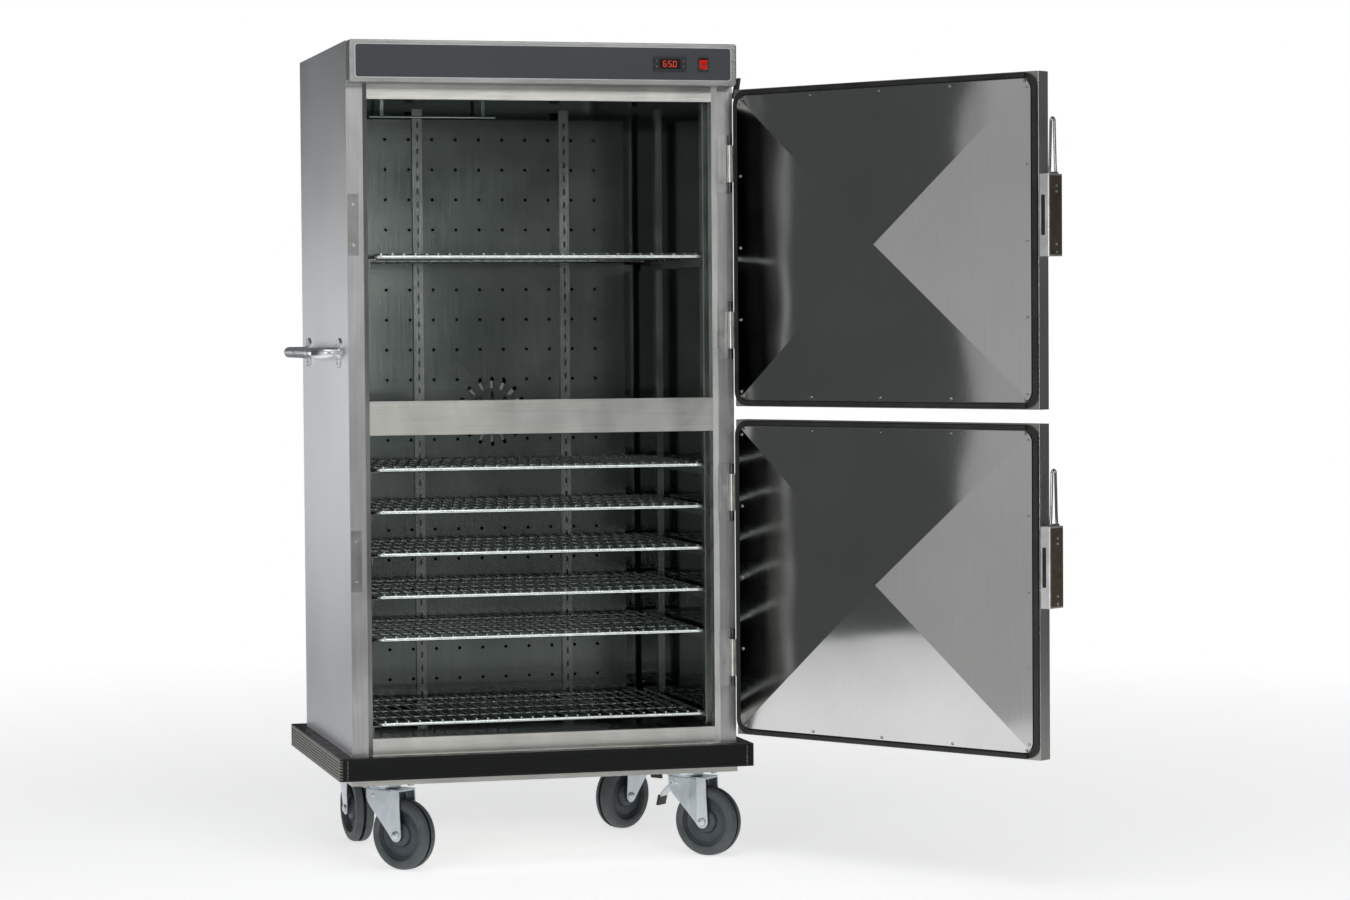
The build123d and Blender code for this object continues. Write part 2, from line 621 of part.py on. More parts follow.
for door, bottom in DOOR_BOTTOMS.items():
    frame = door_frame(bottom)
    plug_place = (door_mid, DOOR_H / 2)

    with BuildPart(frame) as door_skin:
        block(DOOR_Q, (INNER, OUTER), (0, DOOR_H))
        fillet(door_skin.edges().filter_by(Axis.Z).sort_by(SortBy.DISTANCE)[:4], radius=1.5)
        inset = (DOOR_Q[0] + SKIN, DOOR_Q[1] - SKIN)
        block(inset, (INNER + SKIN, OUTER - SKIN), (SKIN, DOOR_H - SKIN), mode=Mode.SUBTRACT)
        window = (DOOR_Q[0] + 24, DOOR_Q[1] - 24)
        block(window, (INNER, INNER + SKIN), (24, DOOR_H - 24), mode=Mode.SUBTRACT)
    write(door_skin, f"{door}_door_skin")

    with BuildPart(frame) as door_foam:
        block(
            (inset[0] + 0.1, inset[1] - 0.1),
            (INNER + SKIN + 0.1, OUTER - SKIN),
            (SKIN + 0.1, DOOR_H - SKIN - 0.1),
        )
    write(door_foam, f"{door}_door_insulation")

    plug = (door_w - 2 * PLUG_EDGE, DOOR_H - 2 * PLUG_EDGE)
    depth_plane = Plane(origin=frame.origin, x_dir=-frame.y_dir, z_dir=-frame.x_dir)
    roofs = []  # a cross-broken block is where two gable roofs meet
    for hem, back, rim, apex in (
        (0.0, -INNER, PLUG_RISE, PLUG_APEX),
        (HEM, -INNER - 1, PLUG_RISE - 0.5, PLUG_APEX - LINER),
    ):
        with BuildPart() as roof:
            for plane, middle, half, reach in (
                (frame, door_mid, plug[0] / 2 - hem, DOOR_H),
                (depth_plane, DOOR_H / 2, plug[1] / 2 - hem, -DOOR_Q[1]),
            ):
                eaves, ridge = rim - INNER, apex - INNER
                gable = [(-half, back), (-half, eaves), (0, ridge), (half, eaves), (half, back)]
                with BuildSketch(plane):
                    with BuildLine():
                        if plane is frame:
                            Polyline(*[(middle + x, -y) for x, y in gable], close=True)
                        else:
                            Polyline(*[(y, middle + x) for x, y in gable], close=True)
                    make_face()
                extrude(amount=reach, mode=Mode.ADD if plane is frame else Mode.INTERSECT)
        roofs.append(roof.part)
    with BuildPart() as door_liner:
        add(roofs[0])
        with BuildSketch(door_inner_plane(bottom, INNER + 1)):
            with Locations(plug_place):
                RectangleRounded(*plug, PLUG_CORNER)
        extrude(amount=PLUG_APEX + 5, mode=Mode.INTERSECT)
        add(roofs[1], mode=Mode.SUBTRACT)
        with BuildSketch(door_inner_plane(bottom, INNER + 1)):
            for x, z in screw_rows + screw_columns:
                with Locations((door_mid + x, z)):
                    Circle(SHANK_R + 0.4)
        extrude(amount=PLUG_APEX, mode=Mode.SUBTRACT)
    write(door_liner, f"{door}_door_liner")

    with BuildPart() as door_screws:
        for x, z in screw_rows + screw_columns:
            seat = rim_height(abs(x) - SCREW_R, z) if (x, z) in screw_columns else rim_height(x, z)
            toward_middle = min(SCREW_R, abs(z - DOOR_H / 2))
            up_hill = rim_height(x, z - toward_middle if z > DOOR_H / 2 else z + toward_middle)
            height = max(seat, up_hill) + 0.05
            with BuildSketch(door_inner_plane(bottom, INNER - 1)):
                with Locations((door_mid + x, z)):
                    Circle(SHANK_R)
            extrude(amount=height - 1)
            with BuildSketch(door_inner_plane(bottom, INNER - height)):
                with Locations((door_mid + x, z)):
                    Circle(SCREW_R)
            extrude(amount=2, taper=20)
    write(door_screws, f"{door}_door_screws")

    with BuildPart() as door_gasket:
        gasket_out = (door_w - 4, DOOR_H - 4)
        with BuildSketch(door_inner_plane(bottom, INNER)):
            with Locations(plug_place):
                RectangleRounded(gasket_out[0], gasket_out[1], 34)
                RectangleRounded(
                    gasket_out[0] - 2 * GASKET_W, gasket_out[1] - 2 * GASKET_W, 23, mode=Mode.SUBTRACT
                )
        extrude(amount=GASKET_PROUD)
        bulge = (DOOR_Q[0] + 28, DOOR_Q[1] - 28)
        for low in (4.0, DOOR_H - 4.0 - 8.0):
            with BuildSketch(door_inner_plane(bottom, INNER - GASKET_PROUD)):
                with Locations((door_mid, low + 4)):
                    Rectangle(bulge[1] - bulge[0], 8)
            extrude(amount=BEVEL_D - 0.4)
    write(door_gasket, f"{door}_door_gasket")

    with BuildPart(frame) as hinge_leaves:
        for offset_z in HINGE_OFFSETS:
            tall = (offset_z - KNUCKLE_MID / 2, offset_z + KNUCKLE_MID / 2)
            block((13, DOOR_Q[0]), (5.5, 32), (offset_z - HINGE_H / 2, offset_z + HINGE_H / 2))
            block((0, DOOR_Q[0]), (3.5, 5.5), tall)
            with Locations((0, 0, offset_z)):
                Cylinder(KNUCKLE_R, KNUCKLE_MID)
                Cylinder(PIN_R + 0.05, KNUCKLE_MID, mode=Mode.SUBTRACT)
    write(hinge_leaves, f"{door}_hinge_leaves")

    latch_z = (LATCH_CENTRE - LATCH_H / 2, LATCH_CENTRE + LATCH_H / 2)
    latch_q = (LATCH_Q, LATCH_Q + LATCH_W)
    latch_y = (-6.4, 45.0)
    magnet_q = (LATCH_Q + 6, LATCH_Q + 16)
    magnet_z = (LATCH_CENTRE - 43, LATCH_CENTRE + 43)
    pivot_y, pivot_z = 27.0, latch_z[1] - 14
    with BuildPart(frame) as latch_body:
        block(latch_q, latch_y, latch_z)
        block((800, LATCH_Q), (OUTER, latch_y[1]), latch_z)
        fillet(latch_body.edges().filter_by(Axis.Z), radius=2.5)
        block(magnet_q, (latch_y[0], latch_y[0] + 4), magnet_z, mode=Mode.SUBTRACT)
        block((859.5, 872.5), (6, latch_y[1]), (latch_z[1] - 30, latch_z[1]), mode=Mode.SUBTRACT)
        block(  # magnet, set back in its window
            (magnet_q[0] + 1, magnet_q[1] - 1),
            (latch_y[0] + 1, latch_y[0] + 4),
            (magnet_z[0] + 0.5, magnet_z[1] - 0.5),
        )
        with Locations(Location((866, pivot_y, pivot_z), (0, 90, 0))):
            Cylinder(PIN_R, 24)
        for dz in (-78, -62, 50, 62):  # rivets on the free side
            with Locations(Location((latch_q[1] + 0.8, 22, LATCH_CENTRE + dz), (0, 90, 0))):
                Cylinder(2.5, 1.6)
    write(latch_body, f"{door}_latch_body")

    lever_start = frame.origin + frame.x_dir * 861
    lever_plane = Plane(origin=lever_start, x_dir=frame.y_dir, z_dir=frame.x_dir)
    top_z = latch_z[1] + LEVER_H
    with BuildPart() as latch_lever:
        with BuildSketch(lever_plane):
            with BuildLine():
                Polyline(
                    (pivot_y - 10, pivot_z - 10),
                    (pivot_y + 10, pivot_z - 10),
                    (43, latch_z[1] + 1),
                    (43, latch_z[1] + 8),
                    (38.5, top_z - 4),
                    (34.5, top_z),
                    (21.5, top_z),
                    (17.5, top_z - 4),
                    (11.5, latch_z[1] + 8),
                    (11.5, latch_z[1] + 1),
                    close=True,
                )
            make_face()
            with Locations((pivot_y, pivot_z)):
                Circle(PIN_R + 0.05, mode=Mode.SUBTRACT)
        extrude(amount=LEVER_T)
        for face_plane in (lever_plane, lever_plane.offset(LEVER_T - LEVER_GROOVE)):
            with BuildSketch(face_plane):
                with BuildLine():
                    Polyline(
                        (19.5, latch_z[1] + 14),
                        (35, latch_z[1] + 14),
                        (31.5, top_z - 10),
                        (24, top_z - 10),
                        close=True,
                    )
                make_face()
            extrude(amount=LEVER_GROOVE, mode=Mode.SUBTRACT)
    write(latch_lever, f"{door}_latch_lever")

# ---------------------------------------------------------------- chassis, bumper, casters

with BuildPart() as base_chassis:  # plates with hairline seams between them
    deck_x, deck_y = HALF_W + 2, HALF_D + 2
    edge_x, edge_y = deck_x - CHASSIS_T, deck_y - CHASSIS_T
    skirt_z = (CHASSIS_BOTTOM, BASE_Z - CHASSIS_T - SEAM)
    block((-deck_x, deck_x), (-deck_y, deck_y), (BASE_Z - CHASSIS_T, BASE_Z))
    for side in (-1, 1):
        block(sorted((side * edge_x, side * deck_x)), (-deck_y, deck_y), skirt_z)
        block((-edge_x + SEAM, edge_x - SEAM), sorted((side * edge_y, side * deck_y)), skirt_z)
    flange_z = (PLATE_Z[1], PLATE_Z[1] + CHASSIS_T)
    for y in sorted({spot[1] for spot in CASTERS.values()}):  # channels that carry the casters
        block((-CHANNEL_X, CHANNEL_X), (y - CHANNEL_Y, y + CHANNEL_Y), flange_z)
        for side in (-1, 1):
            web_y = sorted((y + side * CHANNEL_Y, y + side * (CHANNEL_Y - CHASSIS_T)))
            block((-CHANNEL_X, CHANNEL_X), web_y, (flange_z[1] + SEAM, skirt_z[1]))
write(base_chassis, "base_chassis")

with BuildPart() as bumper:
    out_x, out_y = HALF_W + BUMPER_OUT, BACK + BUMPER_OUT
    in_x, in_y = out_x - BUMPER_T, out_y - BUMPER_T
    cut_x, cut_y = out_x - CORNER, out_y - CORNER
    bumper_h = BUMPER_Z[1] - BUMPER_Z[0]
    strips = ((in_x, cut_x, in_y, cut_y, out_y), (in_y, cut_y, in_x, cut_x, out_x))
    for turned, (a_in, a_cut, b_in, b_cut, b_out) in enumerate(strips):
        for side in (-1, 1):
            with BuildSketch(Plane.XY.offset(BUMPER_Z[0])):
                with BuildLine():
                    strip = [
                        (-a_in + SEAM, side * b_in),
                        (a_in - SEAM, side * b_in),
                        (a_cut - SEAM, side * b_cut),
                        (a_cut - SEAM, side * b_out),
                        (-a_cut + SEAM, side * b_out),
                        (-a_cut + SEAM, side * b_cut),
                    ]
                    Polyline(*[(y, x) if turned else (x, y) for x, y in strip], close=True)
                make_face()
            extrude(amount=bumper_h)
    for rib in range(6):  # grooves along the outside
        low = BUMPER_Z[0] + 7 + 6.6 * rib
        with BuildSketch(Plane.XY.offset(low)):
            Rectangle(2 * out_x + 2, 2 * out_y + 2)
            Rectangle(2 * out_x - 3, 2 * out_y - 3, mode=Mode.SUBTRACT)
        extrude(amount=3, mode=Mode.SUBTRACT)
    for sx in (-1, 1):
        for sy in (-1, 1):
            with BuildSketch(Plane.XY.offset(BUMPER_Z[0])) as corner:
                with Locations((sx * (out_x - CORNER / 2), sy * (out_y - CORNER / 2))):
                    Rectangle(CORNER, CORNER)
                tip = corner.vertices().sort_by(lambda v: sx * v.X + sy * v.Y)[-1]
                fillet(tip, radius=9)
            extrude(amount=bumper_h)
write(bumper, "bumper")

CROWN_Z = (178.0, 183.0)
HEAD_Z = (187.0, PLATE_Z[0])
PLATE_SIZE, BOLT_SPACING = (140.0, 110.0), (105.0, 80.0)
with BuildPart() as caster_plates:
    for x, y, _ in CASTERS.values():
        with BuildSketch(Plane.XY.offset(PLATE_Z[0])):
            with Locations((x, y)):
                RectangleRounded(*PLATE_SIZE, 8)
        extrude(amount=PLATE_Z[1] - PLATE_Z[0])
        with BuildSketch(Plane.XY.offset(HEAD_Z[0])):
            with Locations((x, y)):
                Circle(39)
        extrude(amount=HEAD_Z[1] - HEAD_Z[0])
        with BuildSketch(Plane.XY.offset(172)):
            with Locations((x, y)):
                Circle(8)
        extrude(amount=HEAD_Z[0] - 172)
        with BuildSketch(Plane.XY.offset(170)):
            with Locations((x, y)):
                Circle(12)
        extrude(amount=5)
write(caster_plates, "caster_plates")

LEG_W = (25.5, 29.5)
for name in CASTERS:
    with BuildPart(caster_frame(name)) as caster_fork:
        block((-42, 60), (-LEG_W[1], LEG_W[1]), CROWN_Z)
        with Locations((0, 0, (CROWN_Z[0] + HEAD_Z[0] - FIT) / 2)):
            Cylinder(36, HEAD_Z[0] - FIT - CROWN_Z[0])
        with Locations((0, 0, 183)):
            Cylinder(8.05, 20, mode=Mode.SUBTRACT)
        for across in (-LEG_W[1], LEG_W[0]):
            with BuildSketch(caster_side(name, across + (LEG_W[1] - LEG_W[0]))):
                with BuildLine():
                    Polyline(
                        (-42, CROWN_Z[1]),
                        (-42, 158),
                        (-34, 140),
                        (42, 72),
                        (70, 80),
                        (64, CROWN_Z[1]),
                        close=True,
                    )
                make_face()
                with Locations((TRAIL, WHEEL_R)):
                    Circle(15)
            extrude(amount=LEG_W[1] - LEG_W[0])
        axle_end = LEG_W[1] + 6  # outer face of the axle's nut and head
        for radius, near, far in (
            (AXLE_R, -LEG_W[1], LEG_W[1]),
            (9.5, LEG_W[1], axle_end),
            (9.5, -axle_end, -LEG_W[1]),
        ):
            with BuildSketch(caster_side(name, far)):
                with Locations((TRAIL, WHEEL_R)):
                    Circle(radius)
            extrude(amount=far - near)
        if name in BRAKED:
            with BuildSketch(caster_side(name, LEG_W[0] + 1)):
                with Locations(BRAKE_PIVOT):
                    Circle(PIN_R)
            extrude(amount=2 * LEG_W[0] + 2)
    write(caster_fork, f"{name}_caster_fork")

    with BuildPart() as caster_wheel:
        half = WHEEL_T / 2
        hub_half = LEG_W[0] - 0.5
        frame = caster_frame(name)
        hub_centre = frame.origin + frame.x_dir * TRAIL + Vector(0, 0, WHEEL_R)
        with BuildSketch(Plane(origin=hub_centre, x_dir=frame.y_dir, z_dir=frame.x_dir)):
            with BuildLine():
                Polyline(
                    (-hub_half, AXLE_R + 0.05),
                    (hub_half, AXLE_R + 0.05),
                    (hub_half, 14),
                    (14, 22),
                    (6, 26),
                    (6, 46),
                    (14, 52),
                    (half - 1, 54),
                    (half, 70),
                    (half - 5, 77),
                    (6, WHEEL_R),
                    (-6, WHEEL_R),
                    (-half + 5, 77),
                    (-half, 70),
                    (-half + 1, 54),
                    (-14, 52),
                    (-6, 46),
                    (-6, 26),
                    (-14, 22),
                    (-hub_half, 14),
                    close=True,
                )
            make_face()
        revolve(axis=Axis(hub_centre, frame.y_dir))
    write(caster_wheel, f"{name}_wheel")

for name in BRAKED:
    frame = caster_frame(name)
    with BuildPart() as brake_pedal:
        with BuildSketch(caster_side(name, 20)):
            with Locations(BRAKE_PIVOT):
                Circle(7)
        extrude(amount=40)
        with BuildSketch(caster_side(name, 17)):
            with BuildLine():
                Polyline(
                    (-31, 160),
                    (-39, 163),
                    (-72, 128),
                    (-76, 112),
                    (-69, 110),
                    (-66, 124),
                    close=True,
                )
            make_face()
        extrude(amount=34)
        with BuildSketch(caster_side(name, 21)):
            with Locations(BRAKE_PIVOT):
                Circle(PIN_R + 0.05)
        extrude(amount=42, mode=Mode.SUBTRACT)
    write(brake_pedal, f"{name}_brake_pedal")

# ---------------------------------------------------------------- fasteners of the fixed structure

with BuildPart() as cabinet_screws:
    with BuildSketch(front_plane(FRONT)):
        with Locations((-HALF_W + 20, BASE_Z + 14), (HALF_W - 20, BASE_Z + 14)):
            Circle(3.2)
    extrude(amount=1.6)
    for radius, amount in ((1.9, -STRIKE_T), (3.6, 0.25)):  # shanks, then heads, of the strike screws
        with BuildSketch(front_plane(FRONT - STRIKE_T)):
            for bottom in DOOR_BOTTOMS.values():
                for dz in STRIKE_SCREWS:
                    with Locations((STRIKE_X, bottom + LATCH_CENTRE + dz)):
                        Circle(radius)
        extrude(amount=amount)
    for x, y, _ in CASTERS.values():  # caster bolts, heads under the plates
        with BuildSketch(Plane.XY.offset(PLATE_Z[0])):
            with Locations((x, y)):
                with GridLocations(BOLT_SPACING[0], BOLT_SPACING[1], 2, 2):
                    RegularPolygon(7.5, 6)
        extrude(amount=-5.3)
    for y in HANDLE_Y:  # handle flange screws
        with BuildSketch(side_plane(-HALF_W - 5)):
            with Locations((y, HANDLE_Z)):
                with PolarLocations(25, 3, start_angle=30):
                    Circle(3.5)
        extrude(amount=-2)
write(cabinet_screws, "cabinet_screws")
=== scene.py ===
"""Looks of the food holding cabinet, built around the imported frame. Metres, in the frame's own axes."""

import json
import math

import bmesh
import bpy
from mathutils import Matrix, Vector


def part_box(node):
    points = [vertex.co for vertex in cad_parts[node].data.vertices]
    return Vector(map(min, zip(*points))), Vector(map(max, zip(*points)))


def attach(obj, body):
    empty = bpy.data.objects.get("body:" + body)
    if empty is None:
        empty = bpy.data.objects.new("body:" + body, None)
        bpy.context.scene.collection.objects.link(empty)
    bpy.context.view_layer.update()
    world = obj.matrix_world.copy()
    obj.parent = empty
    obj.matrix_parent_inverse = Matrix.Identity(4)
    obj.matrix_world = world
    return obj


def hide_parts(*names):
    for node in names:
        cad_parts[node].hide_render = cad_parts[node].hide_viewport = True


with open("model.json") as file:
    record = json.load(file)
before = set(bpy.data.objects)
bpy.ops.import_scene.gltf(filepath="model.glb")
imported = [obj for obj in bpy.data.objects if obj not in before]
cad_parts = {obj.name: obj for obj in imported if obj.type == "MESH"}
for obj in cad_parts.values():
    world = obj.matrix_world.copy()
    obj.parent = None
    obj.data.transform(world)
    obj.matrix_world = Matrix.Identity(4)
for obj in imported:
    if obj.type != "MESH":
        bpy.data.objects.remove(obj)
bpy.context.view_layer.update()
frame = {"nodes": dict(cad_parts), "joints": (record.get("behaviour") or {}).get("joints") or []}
NODES = frame["nodes"]
JOINTS = {joint["name"]: joint for joint in frame["joints"]}

CASTERS = ("front_left", "front_right", "rear_left", "rear_right")
DOORS = ("lower", "upper")
MM = 0.001

# ---------------------------------------------------------------- node helpers


def blank(name, **sockets):
    """A material with a Principled shader, whose named sockets are set to constants."""
    material = bpy.data.materials.new(name)
    material.use_nodes = True
    tree = material.node_tree
    shader = tree.nodes["Principled BSDF"]
    for key, value in sockets.items():
        shader.inputs[key.replace("_", " ")].default_value = value
    return material, tree, shader


def place(tree, scale, turn=0.0):
    """The object's own coordinates, stretched by scale and turned about Z."""
    coords = tree.nodes.new("ShaderNodeTexCoord")
    mapping = tree.nodes.new("ShaderNodeMapping")
    mapping.vector_type = "TEXTURE"
    mapping.inputs["Rotation"].default_value = (0.0, 0.0, turn)
    stretch = tree.nodes.new("ShaderNodeMapping")
    stretch.inputs["Scale"].default_value = scale
    tree.links.new(coords.outputs["Object"], mapping.inputs["Vector"])
    tree.links.new(mapping.outputs["Vector"], stretch.inputs["Vector"])
    return stretch.outputs["Vector"]


def noise(tree, scale, detail=4.0, turn=0.0, distortion=0.0):
    """Grey noise of about 0 to 1; scale is its frequency per metre along each axis."""
    texture = tree.nodes.new("ShaderNodeTexNoise")
    texture.inputs["Scale"].default_value = 1.0
    texture.inputs["Detail"].default_value = detail
    texture.inputs["Distortion"].default_value = distortion
    tree.links.new(place(tree, scale, turn), texture.inputs["Vector"])
    return texture.outputs["Fac"]


def math_node(tree, operation, first, second):
    """A Math node; each operand is a socket or a number."""
    node = tree.nodes.new("ShaderNodeMath")
    node.operation = operation
    for index, operand in enumerate((first, second)):
        if isinstance(operand, (int, float)):
            node.inputs[index].default_value = operand
        else:
            tree.links.new(operand, node.inputs[index])
    return node.outputs["Value"]


def axis_of(tree, axis):
    """One axis of the object's own coordinates, in metres."""
    coords = tree.nodes.new("ShaderNodeTexCoord")
    split = tree.nodes.new("ShaderNodeSeparateXYZ")
    tree.links.new(coords.outputs["Object"], split.inputs["Vector"])
    return split.outputs[axis]


def mix_of(tree, share, first, second):
    """A share of the first grey socket and the rest of the second."""
    one = math_node(tree, "MULTIPLY", first, share)
    two = math_node(tree, "MULTIPLY", second, 1.0 - share)
    return math_node(tree, "ADD", one, two)


def between(tree, share, first, second):
    """first where the share socket is 0, second where it is 1."""
    kept = math_node(tree, "MULTIPLY", first, math_node(tree, "SUBTRACT", 1.0, share))
    return math_node(tree, "ADD", kept, math_node(tree, "MULTIPLY", second, share))


def spread(tree, value, low, high, start=0.3, end=0.7):
    """value from start to end becomes low to high."""
    node = tree.nodes.new("ShaderNodeMapRange")
    for key, number in (("From Min", start), ("From Max", end), ("To Min", low), ("To Max", high)):
        node.inputs[key].default_value = number
    tree.links.new(value, node.inputs["Value"])
    return node.outputs["Result"]


def tint(tree, value, dark, light, start=0.3, end=0.7):
    """A colour from dark to light as value goes from start to end."""
    ramp = tree.nodes.new("ShaderNodeValToRGB")
    ramp.color_ramp.elements[0].position = start
    ramp.color_ramp.elements[0].color = (*dark, 1.0)
    ramp.color_ramp.elements[1].position = end
    ramp.color_ramp.elements[1].color = (*light, 1.0)
    tree.links.new(value, ramp.inputs["Fac"])
    return ramp.outputs["Color"]


def raise_surface(tree, shader, height, strength, distance):
    """Bump from a height socket, added over any bump that the shader already has."""
    bump = tree.nodes.new("ShaderNodeBump")
    bump.inputs["Strength"].default_value = strength
    bump.inputs["Distance"].default_value = distance
    tree.links.new(height, bump.inputs["Height"])
    if shader.inputs["Normal"].is_linked:
        tree.links.new(shader.inputs["Normal"].links[0].from_socket, bump.inputs["Normal"])
    tree.links.new(bump.outputs["Normal"], shader.inputs["Normal"])


# ---------------------------------------------------------------- materials


def metal(name, dark, light, rough, grain, depth, cloud=2.5, turn=0.0, wave=0.0):
    """Rolled or brushed sheet: fine lines along the smallest grain axis over a cloudy variation."""
    material, tree, shader = blank(name, Metallic=1.0)
    lines = noise(tree, grain, 3.0, turn)
    clouds = noise(tree, (cloud, cloud, cloud), 5.0, turn, 0.4)
    tone = mix_of(tree, 0.4, lines, clouds)
    tree.links.new(tint(tree, tone, dark, light), shader.inputs["Base Color"])
    tree.links.new(spread(tree, tone, *rough), shader.inputs["Roughness"])
    if wave:
        raise_surface(tree, shader, noise(tree, (4.0, 4.0, 3.0), 1.0, turn), wave, 0.02)
    raise_surface(tree, shader, lines, depth, 0.0004)
    return material


def plastic(name, dark, light, rough, texture_scale, depth, cloud=14.0, **sockets):
    """Moulded plastic or rubber: pebbled skin with faint dust and wear."""
    material, tree, shader = blank(name, **sockets)
    clouds = noise(tree, (cloud, cloud, cloud), 6.0, 0.0, 0.6)
    pebbles = noise(tree, (texture_scale,) * 3, 2.0)
    tree.links.new(tint(tree, clouds, dark, light), shader.inputs["Base Color"])
    tree.links.new(spread(tree, clouds, *rough), shader.inputs["Roughness"])
    raise_surface(tree, shader, pebbles, depth, 0.0003)
    return material


DOOR_OPEN = math.radians(125.0)  # how far the doors stand open at rest
DOOR_TURN = math.atan2(-math.sin(DOOR_OPEN), -math.cos(DOOR_OPEN))
UPRIGHT_GRAIN = (900.0, 900.0, 6.0)
LEVEL_GRAIN = (6.0, 900.0, 900.0)
DEPTH_GRAIN = (900.0, 6.0, 900.0)

METALS = {  # dark and light colour, roughness range, grain, grain depth, options
    "side_sheet": ((0.50, 0.50, 0.51), (0.60, 0.60, 0.61), (0.34, 0.44), DEPTH_GRAIN, 0.25, {}),
    "fascia_sheet": (
        (0.28, 0.29, 0.28), (0.50, 0.50, 0.485), (0.24, 0.36), LEVEL_GRAIN, 0.15, {"cloud": 6.0}
    ),
    # liner and duct: polished stainless given very dark colours, a painted shade of the cabinet's dark inside
    "liner_sheet": (
        (0.15, 0.175, 0.16), (0.24, 0.27, 0.25), (0.05, 0.10), UPRIGHT_GRAIN, 0.03,
        {"cloud": 4.0, "wave": 0.06},
    ),
    "duct_sheet": (
        (0.17, 0.20, 0.185), (0.26, 0.29, 0.27), (0.12, 0.22), UPRIGHT_GRAIN, 0.10,
        {"cloud": 4.0, "wave": 0.05},
    ),
    "support_sheet": (
        (0.24, 0.26, 0.24), (0.40, 0.42, 0.40), (0.16, 0.28), UPRIGHT_GRAIN, 0.2, {"cloud": 8.0}
    ),
    "door_mirror": (
        (0.60, 0.61, 0.60), (0.70, 0.70, 0.69), (0.045, 0.085), (700.0, 700.0, 8.0), 0.03,
        {"cloud": 3.0, "turn": DOOR_TURN, "wave": 0.10},
    ),
    "door_sheet": (
        (0.40, 0.39, 0.37), (0.60, 0.58, 0.55), (0.26, 0.38), UPRIGHT_GRAIN, 0.35,
        {"cloud": 4.0, "turn": DOOR_TURN},
    ),
    "chassis_sheet": (
        (0.40, 0.40, 0.38), (0.58, 0.57, 0.54), (0.30, 0.42), LEVEL_GRAIN, 0.3, {"cloud": 8.0}
    ),
    "handle_tube": (
        (0.74, 0.76, 0.78), (0.92, 0.93, 0.95), (0.18, 0.32), (900.0, 60.0, 900.0), 0.3, {"cloud": 12.0}
    ),
    "loop_chrome": (
        (0.30, 0.30, 0.31), (0.68, 0.69, 0.70), (0.06, 0.16), (60.0, 60.0, 20.0), 0.1, {"cloud": 14.0}
    ),
    "bright_wire": (
        (0.30, 0.36, 0.36), (0.56, 0.63, 0.63), (0.12, 0.24), (60.0, 60.0, 60.0), 0.15, {"cloud": 25.0}
    ),
    "latch_plate": (
        (0.80, 0.80, 0.79), (1.0, 1.0, 0.99), (0.30, 0.46), (30.0, 30.0, 900.0), 0.25,
        {"cloud": 30.0, "turn": DOOR_TURN},
    ),
    "hinge_plate": (
        (0.66, 0.65, 0.62), (0.92, 0.90, 0.87), (0.26, 0.42), UPRIGHT_GRAIN, 0.3, {"cloud": 30.0}
    ),
    "strike_plate": (
        (0.26, 0.26, 0.25), (0.42, 0.42, 0.40), (0.28, 0.42), UPRIGHT_GRAIN, 0.4, {"cloud": 30.0}
    ),
    "screw_metal": (
        (0.34, 0.34, 0.33), (0.72, 0.72, 0.70), (0.18, 0.34), (300.0, 300.0, 300.0), 0.3, {"cloud": 90.0}
    ),
    "zinc": (
        (0.50, 0.56, 0.60), (0.76, 0.81, 0.84), (0.24, 0.40), (160.0, 160.0, 40.0), 0.25, {"cloud": 22.0}
    ),
    "fan_metal": (
        (0.30, 0.30, 0.30), (0.46, 0.46, 0.46), (0.30, 0.45), (300.0, 300.0, 300.0), 0.3, {"cloud": 30.0}
    ),
    # painted reflection: brown tone of brownish surroundings on the latch's chrome side
    "latch_side": (
        (0.17, 0.135, 0.085), (0.30, 0.25, 0.175), (0.32, 0.46), (40.0, 40.0, 500.0), 0.3, {"cloud": 25.0}
    ),
}
PLASTICS = {  # dark and light colour, roughness range, pebbles per metre, pebble depth, options
    "rim_plastic": ((0.036, 0.048, 0.058), (0.070, 0.086, 0.104), (0.40, 0.52), 900.0, 0.2, {"cloud": 40.0}),
    "foam": ((0.72, 0.66, 0.46), (0.85, 0.80, 0.62), (0.85, 0.95), 260.0, 0.8, {}),
    "overlay": ((0.042, 0.051, 0.057), (0.052, 0.062, 0.068), (0.42, 0.50), 1600.0, 0.12, {"cloud": 5.0}),
    "bezel": ((0.010, 0.010, 0.012), (0.022, 0.022, 0.025), (0.28, 0.40), 1400.0, 0.2, {}),
    "hook_plastic": ((0.008, 0.009, 0.009), (0.020, 0.021, 0.022), (0.35, 0.55), 900.0, 0.3, {}),
    "gasket": ((0.010, 0.012, 0.011), (0.024, 0.026, 0.025), (0.45, 0.62), 700.0, 0.3, {"cloud": 20.0}),
    "tyre": ((0.050, 0.060, 0.063), (0.088, 0.102, 0.108), (0.50, 0.64), 700.0, 0.3, {"cloud": 30.0}),
    "pedal_pad": ((0.010, 0.010, 0.010), (0.026, 0.026, 0.026), (0.45, 0.6), 600.0, 0.4, {}),
    "border_ink": ((0.50, 0.52, 0.53), (0.64, 0.66, 0.67), (0.35, 0.45), 900.0, 0.1, {}),
    "window_tint": (
        (0.006, 0.003, 0.003), (0.016, 0.006, 0.005), (0.10, 0.18), 300.0, 0.04, {"Coat_Weight": 0.6}
    ),
}


def rocker_material():
    """Satin red rocker with a soft glow of its lamp behind it."""
    material, tree, shader = blank("rocker_glow", Specular_IOR_Level=0.18, Emission_Strength=0.16)
    glow = noise(tree, (60.0, 60.0, 45.0), 2.0)
    tree.links.new(tint(tree, glow, (0.38, 0.004, 0.002), (0.75, 0.03, 0.01)), shader.inputs["Base Color"])
    tree.links.new(tint(tree, glow, (0.30, 0.0, 0.0), (0.95, 0.03, 0.01)), shader.inputs["Emission Color"])
    tree.links.new(spread(tree, glow, 0.34, 0.46), shader.inputs["Roughness"])
    return material


